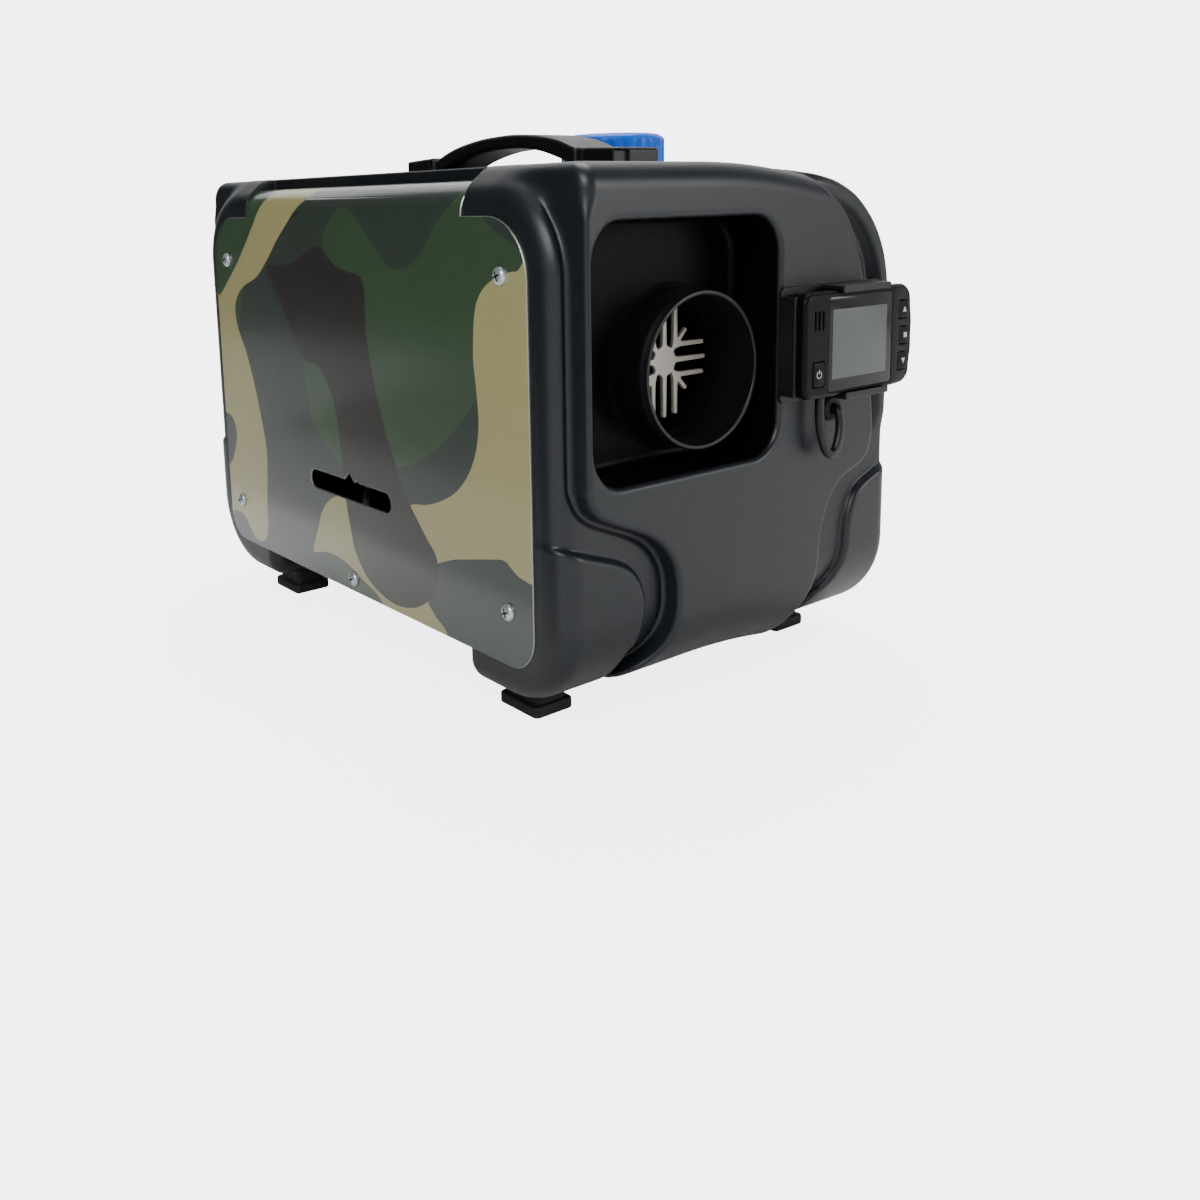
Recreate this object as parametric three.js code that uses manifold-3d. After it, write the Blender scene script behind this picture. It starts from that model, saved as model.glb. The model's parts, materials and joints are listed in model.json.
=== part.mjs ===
// Portable diesel air heater: a moulded housing that holds a fuel tank, a fuel pump and the
// heater itself behind a painted steel side panel, with a carrying handle and a wired controller.
// Millimetres. +X is the warm air outlet end, -Y the side panel, +Z up, the floor is at Z = 0.

import * as THREE from 'three';
import { mergeVertices } from 'three/addons/utils/BufferGeometryUtils.js';
import Module from 'manifold-3d';

const wasm = await Module();
wasm.setup();

// ---------------------------------------------------------------- driving dimensions
const gap = 0.3; // clearance between pieces that touch or turn

// housing
const bodyLength = 370;
const bodyWidth = 235;
const bodyTop = 262;
const shellFloor = 20;
const wall = 3.5;
const bandRise = 9.5; // the middle band stands proud of the end frames
const bandCorner = 12;
const bandNearCorner = 40; // its near edge turns in a wider sweep
const bandBead = 8; // the width of that sweep
const bandInset = 11.5; // from the near side face
const hoopDrop = 5; // the end frames lie lower than the band
const hoopCorner = 45;
const farHoopCorner = 16; // the far shoulder keeps its end edge sharp
const hoopSplitY = 0; // where the one corner gives way to the other, under the band
const hoopLowerCorner = 40;
const lowerCorner = 35;
const uprightCorner = 12;
const nearEdge = 16;
const nearChamfer = [27, 16]; // the lower near edge slopes in under the side panel
const shoulderRadius = 57.5;
const shoulderDrop = 61; // of its centre, below the end frame's top
const bumperFloor = 15;
const bumperCorner = 45;
const bumperRise = 4; // past the end frame
const bumperProud = 2.6; // past the far side face
const bumperInnerX = 103.5;

// air recess in each end
const recessInset = 3.2; // from the near edge of the band
const recessFarY = 17.6;
const recessFloor = 121;
const recessDrop = 25; // of its top, below the band's
const recessDepth = 32;
const recessCorner = 18;

// side panel
const panelHalf = 159;
const panelBottom = 33.5;
const panelDrop = 22; // of the bend's start, below the band's top
const panelThick = 1;
const panelUpperCorner = 28;
const panelLowerCorner = 18;
const flapHalf = 112;
const flapLength = 5;
const bayHalf = 129;
const bayBottom = 52;
const bayDrop = 9; // below the bend
const slotX = [-46, 41];
const slotZ = [86, 97];
const panelScrewPlaces = [[141, 214], [-141, 214], [141, 60], [-141, 60], [-1, 41]];
const screwShank = 1.9;
const screwHead = 4.3;
const screwHeadHeight = 2.3;
const screwLength = 9;

// feet
const footX = 122.5;
const footInset = 29.5; // from the side faces
const footSize = [30, 24, 8];
const footSpigot = 4;

// carrying handle
const handleY = 5.8;
const handleWidth = 31.5;
const handleHalf = 99.5;
const handleEndLength = 32;
const handleEndHeight = 10.5;
const handleRise = 21;
const strapThick = 8;
const tongueThick = 3.4;
const tongueWidth = 25;
const handleScrewInset = 15.5; // from the end of the handle

// fuel tank and cap
const tankHalf = 164;
const tankNearY = 38;
const tankClear = 3.5; // from the inside of the housing
const tankHeadroom = 5.5; // under the housing
const tankWall = 2.5;
const fillerX = 25;
const fillerY = 56;
const neckRadius = 22;
const neckBore = 19.4;
const neckRise = 13; // above the band
const strainerRim = 1.2;
const capRadius = 30.5;
const capLift = 2.3; // above the floor of the well
const capCrown = 4.1;
const wellRadius = 33.5;
const wellDepth = 9;
const capBore = 23.6;
const capRibs = 24;
const gasketThick = 2;

// warm air path: the heater lies along X on this axis
const axisY = -25.5;
const axisZ = 166;
const collarRadius = 37.5;
const collarBore = 35.5;
const collarFront = 176;

// heater casing
const caseX = [-146, 138];
const caseHalfWidth = 57;
const caseHalfHeight = 56;
const caseWall = 2.5;
const caseCorner = 30;
const noseBore = 32.7;
const boardPosts = [[-101, -50], [-101, -1], [-71, -50], [-71, -1]];
const boardZ = 203;

// burner, exchanger and blower, placed along X
const exhaustX = -10;
const exhaustRadius = 13;
const exhaustBore = 11;
const intakeX = -53;
const intakeRadius = 11;
const intakeBore = 9;
const pipeBottom = 14;
const exchangerRadius = 34;
const exchangerBore = 26;
const exchangerX = [-36.7, 62];
const finRadius = 47;
const finCount = 16;
const starRadius = 28;
const starHub = 9.2;
const starPitch = 7.5;
const starFin = 2.2;
const starX = 150;
const burnerRadius = 22;
const glowX = -26.4;
const blowerX = [-66, -40];
const blowerRadius = 50;
const motorX = [-106, -66.3];
const motorRadius = 26;
const shaftRadius = 2.5;
const fanX = [-138, -112];
const fanRadius = 49;
const bladeCount = 9;
const fuelStubY = -60;

// heater stand
const gasketTop = 109.7;
const standTop = 107.4;
const standSheet = 2;
const standX = [-92, 62];
const standY = [-82, 30];

// fuel pump and filter
const pumpX = [-45, 35];
const pumpY = -66;
const pumpZ = 52;
const pumpRadius = 14;
const plungerRadius = 4;
const plungerTravel = 1.5;
const filterX = 100;
const filterY = [-42, 2];
const fuelOutletZ = 45;
const lineRadius = 2.5;

// power inlet on the rear end
const inletAt = [10, 78];
const inletReach = 16.8; // the barrel stands out from the band

// controller on the outlet end
const controllerY = [17.5, 104];
const controllerZ = [148.5, 200];
const controllerFace = 200;
const controllerCorner = 9;
const cradleThick = 2;
const splitX = 193.7; // where the two casing halves meet
const skin = 2;
const glassY = [35.5, 86];
const glassZ = [151, 197.5];
const glassThick = 0.8;
const displayThick = 2.6;
const lcdY = [38.5, 79.8];
const lcdZ = [157, 191];
const buttonRise = 0.6;
const sideButtonY = 95;
const sideButtonZ = [186, 173.5, 160.5];
const sideButtonSize = [10, 9];
const powerButtonAt = [28.2, 160.5];
const powerButtonSize = [8.5, 12];
const leadRadius = 2.4;
const leadY = 41;
const leadReturnY = 57;
const leadReturnZ = 139;
const grommetNeck = 4;

// ---------------------------------------------------------------- derived places
const endX = bodyLength / 2;
const frameX = endX - bandRise;
const sideY = bodyWidth / 2;
const bandNearY = bandInset - sideY;
const hoopTop = bodyTop - hoopDrop;
const shoulderZ = hoopTop - shoulderDrop;
const recessY = [bandNearY + recessInset, recessFarY];
const recessZ = [recessFloor, bodyTop - recessDrop];
const recessBack = endX - recessDepth;
const panelFace = -sideY;
const panelZ = [panelBottom, bodyTop - panelDrop];
const bayZ = [bayBottom, panelZ[1] - bayDrop];
const footY = sideY - footInset;
const panelBack = panelFace + panelThick;
const nearFace = panelBack + gap; // the panel lies on this face of the housing
const flapRadius = nearEdge;
const flapCentre = [panelFace + flapRadius, panelZ[1]];
const shellInside = shellFloor + wall;
const handleScrewX = handleHalf - handleScrewInset;
const tankY = [tankNearY, sideY - wall - tankClear];
const tankTop = hoopTop - wall - tankHeadroom;
const neckTop = bodyTop + neckRise;
const gasketSeat = neckTop + gap + strainerRim + gap;
const capSeat = gasketSeat + gasketThick + gap;
const capTop = capSeat + capCrown;
const wellFloor = bodyTop - wellDepth;
const capBottom = wellFloor + capLift;
const handleSeat = bodyTop + gap;
const tankBottom = shellInside + gap;
const caseBottom = axisZ - caseHalfHeight;
const gasketBottom = standTop + gap;
const cradleBack = endX + gap;
const cradleFront = cradleBack + cradleThick;
const caseBackX = cradleFront + gap;
const displayFront = controllerFace - glassThick - gap;
const boardFront = displayFront - displayThick - gap;
const sideButtonPlaces = sideButtonZ.map((z) => [sideButtonY, z]);

// ---------------------------------------------------------------- shape helpers
const alongX = new THREE.Matrix4().makeBasis(
  new THREE.Vector3(0, 1, 0), new THREE.Vector3(0, 0, 1), new THREE.Vector3(1, 0, 0));
const alongY = new THREE.Matrix4().makeBasis(
  new THREE.Vector3(1, 0, 0), new THREE.Vector3(0, 0, 1), new THREE.Vector3(0, -1, 0));
const alongZ = new THREE.Matrix4();
const directions = { x: alongX, y: alongY, z: alongZ };

function signedVolume(points, index) {
  const a = new THREE.Vector3();
  const b = new THREE.Vector3();
  const c = new THREE.Vector3();
  let total = 0;
  for (let i = 0; i < index.length; i += 3) {
    a.fromArray(points, 3 * index[i]);
    b.fromArray(points, 3 * index[i + 1]);
    c.fromArray(points, 3 * index[i + 2]);
    total += a.dot(b.cross(c)) / 6;
  }
  return total;
}

// A closed geometry becomes a solid with its faces pointing out.
function solid(geometry) {
  const bare = new THREE.BufferGeometry();
  bare.setAttribute('position', geometry.attributes.position.clone());
  if (geometry.index) bare.setIndex(geometry.index.clone());
  const merged = mergeVertices(bare, 1e-4);
  const points = Float32Array.from(merged.attributes.position.array);
  const index = Uint32Array.from(merged.index.array);
  if (signedVolume(points, index) < 0) index.reverse();
  return new wasm.Manifold(new wasm.Mesh({ numProp: 3, vertProperties: points, triVerts: index }));
}

function geometryOf(manifold) {
  const mesh = manifold.getMesh();
  const geometry = new THREE.BufferGeometry();
  geometry.setAttribute('position', new THREE.BufferAttribute(mesh.vertProperties, 3));
  geometry.setIndex(new THREE.BufferAttribute(mesh.triVerts, 1));
  geometry.computeVertexNormals();
  return geometry;
}

function arc(a, b, radius, from, to, steps) {
  const points = [];
  for (let i = 0; i <= steps; i += 1) {
    const angle = THREE.MathUtils.degToRad(from + ((to - from) * i) / steps);
    points.push([a + radius * Math.cos(angle), b + radius * Math.sin(angle)]);
  }
  return points;
}

function circle(a, b, radius, sides = 24) {
  return arc(a, b, radius, 0, 360, sides).slice(0, -1);
}

// Corner radii run from the low-low corner round to the low-high one.
function roundedBox(a, b, radii, steps = 5) {
  const [r0, r1, r2, r3] = Array.isArray(radii) ? radii : [radii, radii, radii, radii];
  return [
    ...arc(a[0] + r0, b[0] + r0, r0, 180, 270, steps),
    ...arc(a[1] - r1, b[0] + r1, r1, 270, 360, steps),
    ...arc(a[1] - r2, b[1] - r2, r2, 0, 90, steps),
    ...arc(a[0] + r3, b[1] - r3, r3, 90, 180, steps),
  ];
}

function spline(points, steps) {
  const curve = new THREE.SplineCurve(points.map(([a, b]) => new THREE.Vector2(a, b)));
  return curve.getPoints(steps).map((point) => [point.x, point.y]);
}

function outline(points) {
  return new THREE.Shape(points.map(([a, b]) => new THREE.Vector2(a, b)));
}

// A prism runs along one axis: its outline lies in (Y, Z) for x, (X, Z) for y and (X, Y) for z.
function prism(axis, points, low, high) {
  const settings = { depth: high - low, bevelEnabled: false };
  const geometry = new THREE.ExtrudeGeometry(outline(points), settings);
  geometry.translate(0, 0, axis === 'y' ? -high : low);
  return solid(geometry.applyMatrix4(directions[axis]));
}

function rod(axis, centre, radius, low, high, sides = 24) {
  return prism(axis, circle(centre[0], centre[1], radius, sides), low, high);
}

function pipe(axis, centre, radius, bore, low, high, sides = 24) {
  return rod(axis, centre, radius, low, high, sides)
    .subtract(rod(axis, centre, bore, low - 1, high + 1, sides));
}

function block(x, y, z) {
  const geometry = new THREE.BoxGeometry(x[1] - x[0], y[1] - y[0], z[1] - z[0]);
  geometry.translate((x[0] + x[1]) / 2, (y[0] + y[1]) / 2, (z[0] + z[1]) / 2);
  return solid(geometry);
}

// A turned piece: the profile holds [radius, height] points and stands on Z at [x, y].
function turned(centre, profile, sides = 24) {
  const points = profile.map(([radius, height]) => new THREE.Vector2(radius, height));
  const geometry = new THREE.LatheGeometry(points, sides);
  geometry.rotateX(Math.PI / 2);
  geometry.translate(centre[0], centre[1], 0);
  return solid(geometry);
}

function tube(points, radius, steps, sides = 10) {
  const path = new THREE.CatmullRomCurve3(points.map((p) => new THREE.Vector3(...p)), false,
    'centripetal');
  const section = outline(circle(0, 0, radius, sides));
  return solid(new THREE.ExtrudeGeometry(section, { extrudePath: path, steps }));
}

function joined(pieces) {
  return pieces.reduce((whole, piece) => whole.add(piece));
}

function without(body, cuts) {
  return cuts.reduce((whole, cut) => whole.subtract(cut), body);
}

// ---------------------------------------------------------------- housing
// The section across the body, drawn in from the outside by the inset.
function bodySection(inset) {
  const low = shellFloor + inset;
  const near = nearFace + inset;
  const far = sideY - inset;
  const edge = nearEdge - inset;
  const [run, rise] = nearChamfer;
  return [
    [near, low + rise],
    [near + 3, low + rise - 4],
    [near + run - 5, low + 2],
    [near + run, low],
    ...arc(far - edge, low + edge, edge, 270, 360, 5),
    ...arc(sideY - shoulderRadius, shoulderZ, shoulderRadius - inset, 0, 90, 12),
    [20, hoopTop - inset],
    ...arc(near + edge, hoopTop - nearEdge, edge, 90, 180, 6),
  ];
}

function bodyCore(inset) {
  const x = [-frameX + inset, frameX - inset];
  const y = [nearFace + inset, sideY - inset];
  const z = [shellFloor + inset, hoopTop - inset];
  const low = hoopLowerCorner - inset;
  const high = hoopCorner - inset;
  const far = farHoopCorner - inset;
  const upright = uprightCorner - inset;
  const ends = joined([
    prism('y', roundedBox(x, z, [low, low, high, high], 7), y[0], hoopSplitY),
    prism('y', roundedBox(x, z, [low, low, far, far], 7), hoopSplitY, y[1]),
  ]);
  return prism('x', bodySection(inset), x[0], x[1])
    .intersect(ends)
    .intersect(prism('z', roundedBox(x, y, upright, 5), z[0], z[1]));
}

// The raised band runs up one end, over the top and down the other, with a waisted foot.
function bandOutline() {
  const near = bandNearY;
  const nearWaist = [[near, 124], [near + 3, 113], [near + 17, 103.5], [near + 32, 97],
    [near + 43, 91], [near + 51, 82], [near + 55, 72], [near + 56, 62], [near + 55, 52],
    [near + 51, 42], [near + 45, 34], [near + 38, shellFloor + 6]];
  const farWaist = [[34, shellFloor + 6], [42, 35], [48, 45], [51, 55], [53, 69], [57, 84],
    [63, 94], [71, 100], [84, 105], [92, 113], [94, 127]];
  const farShoulder = [[30.5, 82], [35, 62], [38.3, 47], [46.2, 30], [57, 18.5], [68.5, 10.5],
    [84.5, 5], [112.5, 1.2], [140.5, 0]].map(([inset, drop]) => [sideY - inset, bodyTop - drop]);
  return [
    ...spline(nearWaist, 22),
    [near + 46, shellFloor],
    [26, shellFloor],
    ...spline(farWaist, 20),
    ...spline(farShoulder, 16),
    [near + 4, bodyTop],
    [near, bodyTop - 4],
  ];
}

function raisedBand() {
  const split = bandNearY + bandBead;
  const profile = (corner) => roundedBox([-endX, endX], [shellFloor, bodyTop],
    [lowerCorner, lowerCorner, corner, corner], 7);
  return prism('x', bandOutline(), -endX, endX).intersect(joined([
    prism('y', profile(bandNearCorner), -sideY, split),
    prism('y', profile(bandCorner), split, sideY),
  ]));
}

// Corner bumpers wrap the lower corners and carry the feet.
function bumper(side) {
  const outer = side > 0 ? sideY + bumperProud : -nearFace;
  const crest = [[66, bumperFloor + 8], [72, 40], [68, 62], [71, 76], [80, 85], [97, 92],
    [outer - 3, 99]];
  const shape = [
    ...spline(crest, 18),
    [outer, 97],
    ...arc(outer - 14, bumperFloor + 14, 14, 0, -90, 5),
    [74, bumperFloor],
  ].map(([a, b]) => [side * a, b]);
  const reach = [bumperInnerX, frameX + bumperRise];
  const profile = roundedBox(reach, [bumperFloor, 110], [8, bumperCorner, 2, 2], 6);
  const plan = roundedBox([bumperInnerX, reach[1]], [-outer, outer], [2, uprightCorner,
    uprightCorner, 2], 5);
  const front = prism('x', shape, reach[0], reach[1])
    .intersect(prism('y', profile, -outer, outer))
    .intersect(prism('z', plan, 0, 120));
  return [front, front.mirror([1, 0, 0])];
}

function recessPocket(side, grow) {
  const y = [recessY[0] - grow, recessY[1] + grow];
  const z = [recessZ[0] - grow, recessZ[1] + grow];
  const span = [recessBack - grow, endX + 5].map((x) => side * x).sort((a, b) => a - b);
  return prism('x', roundedBox(y, z, recessCorner + grow, 6), span[0], span[1]);
}

// The hollow inside follows the body and reaches into the band where that is thick.
function housingHollow() {
  const inside = endX - wall;
  const hollow = joined([
    bodyCore(wall),
    block([-inside, inside], [25, 78], [112, 205]),
    block([-inside, inside], [-44, 40], [48, 112]),
    block([-120, 120], [-90, 8], [200, bodyTop - wall]),
  ]);
  return without(hollow, [recessPocket(1, wall), recessPocket(-1, wall)]);
}

function flapCut() {
  const inner = flapRadius - panelThick - gap;
  const back = nearFace;
  const flapEnd = flapCentre[0] + flapLength + gap;
  const shape = [
    [panelFace - 10, panelZ[1] - 30],
    [back, panelZ[1] - 30],
    ...arc(flapCentre[0], flapCentre[1], inner, 180, 90, 8),
    [flapEnd, flapCentre[1] + inner],
    [flapEnd, bodyTop + 10],
    [panelFace - 10, bodyTop + 10],
  ];
  return prism('x', shape, -flapHalf - gap, flapHalf + gap);
}

function panelOutline() {
  return roundedBox([-panelHalf, panelHalf], panelZ,
    [panelLowerCorner, panelLowerCorner, panelUpperCorner, panelUpperCorner], 7);
}

function footPlaces() {
  return [['front_near', 1, -1], ['front_far', 1, 1], ['rear_near', -1, -1], ['rear_far', -1, 1]]
    .map(([name, a, b]) => [name, a * footX, b * footY]);
}

function housingShell() {
  const body = joined([bodyCore(0), raisedBand(), ...bumper(-1), ...bumper(1)]);
  const pilot = screwShank + gap;
  const cuts = [
    housingHollow(),
    recessPocket(1, 0),
    recessPocket(-1, 0),
    flapCut(),
    prism('y', roundedBox([-bayHalf, bayHalf], bayZ, 14), panelFace - 5, panelFace + 8),
    rod('x', [axisY, axisZ], collarRadius + gap, -recessBack - 10, recessBack + 10, 36),
    rod('z', [fillerX, fillerY], neckRadius + gap, 230, bodyTop + 5),
    rod('z', [fillerX, fillerY], wellRadius, wellFloor, bodyTop + 5, 32),
    rod('z', [exhaustX, axisY], exhaustRadius + gap, bumperFloor, shellInside + 5),
    rod('z', [intakeX, axisY], intakeRadius + gap, bumperFloor, shellInside + 5),
    rod('x', [leadReturnY, leadReturnZ], grommetNeck + gap, frameX, endX + 5, 16),
    powerInletHole(),
    ...panelScrewPlaces.map(([x, z]) => rod('y', [x, z], pilot, panelFace - 5, panelFace + 8, 16)),
    ...[-1, 1].map((s) => rod('z', [s * handleScrewX, handleY], pilot, 240, bodyTop + 5, 16)),
    ...footPlaces().map(([, x, y]) => rod('z', [x, y], footSpigot + gap, 5, shellInside + 5, 20)),
  ];
  return without(body, cuts);
}

// ---------------------------------------------------------------- side panel and screws
function sidePanel() {
  const flat = prism('y', panelOutline(), panelFace, panelBack);
  const bend = [
    [panelFace, panelZ[1] - 30],
    [panelBack, panelZ[1] - 30],
    ...arc(flapCentre[0], flapCentre[1], flapRadius - panelThick, 180, 90, 8),
    [flapCentre[0] + flapLength, flapCentre[1] + flapRadius - panelThick],
    [flapCentre[0] + flapLength, flapCentre[1] + flapRadius],
    ...arc(flapCentre[0], flapCentre[1], flapRadius, 90, 180, 8),
  ];
  const slotEnd = (slotZ[1] - slotZ[0]) / 2;
  const notch = [[slotX[0] + 36, slotZ[1] - 1], [slotX[0] + 50, slotZ[1] - 1],
    [slotX[0] + 43, slotZ[1] + 4]];
  return without(flat.add(prism('x', bend, -flapHalf, flapHalf)), [
    prism('y', roundedBox(slotX, slotZ, slotEnd - 0.1, 5), panelFace - 2, panelBack + 2),
    prism('y', notch, panelFace - 2, panelBack + 2),
    ...panelScrewPlaces.map(([x, z]) => rod('y', [x, z], screwShank + gap, panelFace - 2,
      panelBack + 2, 16)),
  ]);
}

// A pan-head screw with a cross recess, lying on Z with its head up.
function panScrew(length) {
  const head = screwHead;
  const screw = turned([0, 0], [[0, -length], [screwShank - 0.6, -length], [screwShank, 1 - length],
    [screwShank, 0], [head, 0], [head, 0.9], [head * 0.8, screwHeadHeight - 0.5],
    [head * 0.4, screwHeadHeight], [0, screwHeadHeight]], 12);
  const arm = 0.45;
  return without(screw, [
    block([-2.2, 2.2], [-arm, arm], [screwHeadHeight - 1.3, screwHeadHeight + 1]),
    block([-arm, arm], [-2.2, 2.2], [screwHeadHeight - 1.3, screwHeadHeight + 1]),
  ]);
}

// ---------------------------------------------------------------- feet
function foot() {
  const [length, width, height] = footSize;
  const pad = roundedBox([-length / 2, length / 2], [-width / 2, width / 2], 3, 3);
  const neck = roundedBox([-length / 2 + 5, length / 2 - 5], [-width / 2 + 4, width / 2 - 4], 3, 3);
  return joined([
    prism('z', pad, 0, height),
    prism('z', neck, height - 1, bumperFloor - gap),
    rod('z', [0, 0], footSpigot, height - 1, shellInside - gap, 20),
  ]);
}

// ---------------------------------------------------------------- carrying handle
function handleStrap() {
  const inner = handleHalf - handleEndLength;
  const seat = handleSeat;
  const tongueEnd = handleHalf - 4;
  const tongueTop = seat + tongueThick;
  const archSide = [[inner - 2, tongueTop + 6.5], [inner - 12, tongueTop + 9.2],
    [inner - 30, seat + handleRise - 6.5], [inner - 48, seat + handleRise - 1.8],
    [0, seat + handleRise]];
  const top = spline(archSide, 16);
  const underSide = [[inner - 4, seat], [inner - 20, seat + 4.5], [inner - 40, seat + 10.4],
    [inner - 55, seat + handleRise - strapThick - 0.6], [0, seat + handleRise - strapThick]];
  const under = spline(underSide, 16);
  const mirrored = (points) => points.map(([x, z]) => [-x, z]).reverse();
  const profile = [
    [tongueEnd, seat],
    [tongueEnd, tongueTop],
    [inner + gap, tongueTop],
    [inner - gap, tongueTop],
    ...top,
    ...mirrored(top).slice(1),
    [-inner + gap, tongueTop],
    [-tongueEnd, tongueTop],
    [-tongueEnd, seat],
    ...mirrored(under).reverse(),
    ...under.slice().reverse().slice(1),
  ];
  const half = handleWidth / 2;
  const y = [handleY - half, handleY + half];
  const strap = prism('y', profile, y[0], y[1]);
  const tongueHalf = tongueWidth / 2;
  const cuts = [-1, 1].flatMap((s) => {
    const x = [s * (inner - gap), s * (handleHalf + 5)].sort((a, b) => a - b);
    return [
      block(x, [y[0] - 1, handleY - tongueHalf], [seat - 1, bodyTop + 40]),
      block(x, [handleY + tongueHalf, y[1] + 1], [seat - 1, bodyTop + 40]),
      rod('z', [s * handleScrewX, handleY], screwShank + gap, seat - 1, seat + 10, 16),
    ];
  });
  return without(strap, cuts);
}

// A cover stands over each end of the strap, open below and towards the arch.
function handleEnd(side) {
  const inner = handleHalf - handleEndLength;
  const half = handleWidth / 2;
  const top = handleSeat + handleEndHeight;
  const profile = [
    [inner, handleSeat],
    [handleHalf, handleSeat],
    [handleHalf, top - 3],
    ...arc(handleHalf - 2, top - 2.6, 2, 0, 90, 3),
    [inner, top + 1],
  ];
  const hollow = tongueWidth / 2 + gap;
  const cover = prism('y', profile, handleY - half, handleY + half).subtract(
    block([inner - 1, handleHalf - 3.5], [handleY - hollow, handleY + hollow],
      [handleSeat - 1, handleSeat + tongueThick + screwHeadHeight + 0.8]));
  const recess = block([handleHalf - 2, handleHalf + 1], [handleY - half + 9, handleY - half + 18],
    [handleSeat - 1, top - 1.5]);
  const piece = cover.subtract(recess);
  return side > 0 ? piece : piece.mirror([1, 0, 0]);
}

// ---------------------------------------------------------------- fuel tank, strainer and cap
function tankSection(inset) {
  const y = [tankY[0] + inset, tankY[1] - inset];
  const low = tankBottom + inset;
  const edge = nearEdge - inset;
  const inner = 8 - inset;
  return [
    ...arc(y[0] + inner, low + inner, inner, 180, 270, 3),
    ...arc(y[1] - edge, low + edge, edge, 270, 360, 5),
    ...arc(y[1] - 50, shoulderZ - 4, 50, 0, 78, 8),
    [y[0] + 6, tankTop - inset],
    [y[0], tankTop - 6 - inset],
  ];
}

function tankBody(inset) {
  const x = [-tankHalf + inset, tankHalf - inset];
  const z = [tankBottom + inset, tankTop - inset];
  return prism('x', tankSection(inset), x[0], x[1])
    .intersect(prism('y', roundedBox(x, z, [lowerCorner, lowerCorner, hoopCorner, hoopCorner], 5),
      tankY[0], tankY[1]));
}

function fuelTank() {
  const tank = tankBody(0).add(rod('z', [fillerX, fillerY], neckRadius, tankTop - 10, neckTop));
  return without(tank, [
    tankBody(tankWall),
    rod('z', [fillerX, fillerY], neckBore, tankTop - 12, neckTop + 1),
    rod('y', [filterX, fuelOutletZ], 4 + gap, tankY[0] - 1, tankY[0] + tankWall + 1, 20),
  ]);
}

// The strainer hangs in the filler neck from its rim.
function fillerStrainer() {
  const outer = neckBore - gap;
  const rim = neckTop + gap;
  return turned([fillerX, fillerY], [[outer - 1.2, rim - 38], [outer, rim - 38], [outer, rim],
    [neckRadius, rim], [neckRadius, rim + strainerRim], [outer - 1.2, rim + strainerRim],
    [outer - 1.2, rim - 38]])
    .add(rod('z', [fillerX, fillerY], outer - 0.5, rim - 39.2, rim - 37.8));
}

function capGasket() {
  return pipe('z', [fillerX, fillerY], neckRadius, neckBore - 3, gasketSeat,
    gasketSeat + gasketThick);
}

// The cap has upright grip ribs, a chamfered crown and a plain bore clear of the neck.
function fuelCap() {
  const rim = [];
  const ribDepth = 0.8;
  for (let i = 0; i < capRibs * 4; i += 1) {
    const angle = (2 * Math.PI * i) / (capRibs * 4);
    const radius = capRadius - (i % 4 < 2 ? 0 : ribDepth);
    rim.push([fillerX + radius * Math.cos(angle), fillerY + radius * Math.sin(angle)]);
  }
  const crown = turned([fillerX, fillerY], [[0, capBottom], [capRadius, capBottom],
    [capRadius, capTop - 4], [capRadius - 5, capTop], [0, capTop]], 36);
  return prism('z', rim, capBottom, capTop).intersect(crown)
    .subtract(rod('z', [fillerX, fillerY], capBore, capBottom - 1, capSeat));
}

function tankOutlet() {
  const outside = tankY[0];
  const at = [filterX, fuelOutletZ];
  const fitting = joined([
    rod('y', at, 4, outside - 2, outside + tankWall + 4, 20),
    rod('y', at, 7, outside - gap - 4, outside - gap, 6),
    rod('y', at, 3, outside - 16, outside - 3, 20),
  ]);
  return fitting.subtract(rod('y', at, 1.2, outside - 20, outside + 20, 12));
}

// ---------------------------------------------------------------- warm air outlet and air inlet
function outletCollar() {
  const back = recessBack - wall - gap;
  return joined([
    pipe('x', [axisY, axisZ], collarRadius, collarBore, back - 2, collarFront, 36),
    pipe('x', [axisY, axisZ], collarRadius + 5, collarBore, back - 2.5, back, 36),
  ]);
}

// The air inlet is a ring with a guard of hoops and spokes.
function inletGrille() {
  const back = -recessBack + wall + gap;
  const front = -recessBack - 12;
  const guard = [9, 18, 27].map((radius) => pipe('x', [axisY, axisZ], radius + 1, radius - 1,
    front, front + 2.5, 18));
  const spokes = [];
  for (let i = 0; i < 3; i += 1) {
    const spoke = block([front, front + 2.5], [-collarBore - 0.5, collarBore + 0.5], [-1, 1]);
    spokes.push(spoke.rotate([60 * i, 0, 0]).translate([0, axisY, axisZ]));
  }
  return joined([
    pipe('x', [axisY, axisZ], collarRadius, collarBore, front, back + 2, 36),
    pipe('x', [axisY, axisZ], collarRadius + 5, collarBore, back, back + 2.5, 36),
    ...guard,
    ...spokes,
  ]);
}

// ---------------------------------------------------------------- heater casing
function casing(inset) {
  const y = [axisY - caseHalfWidth + inset, axisY + caseHalfWidth - inset];
  const z = [axisZ - caseHalfHeight + inset, axisZ + caseHalfHeight - inset];
  return prism('x', roundedBox(y, z, caseCorner - inset, 6), caseX[0] + inset, caseX[1] - inset);
}

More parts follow.
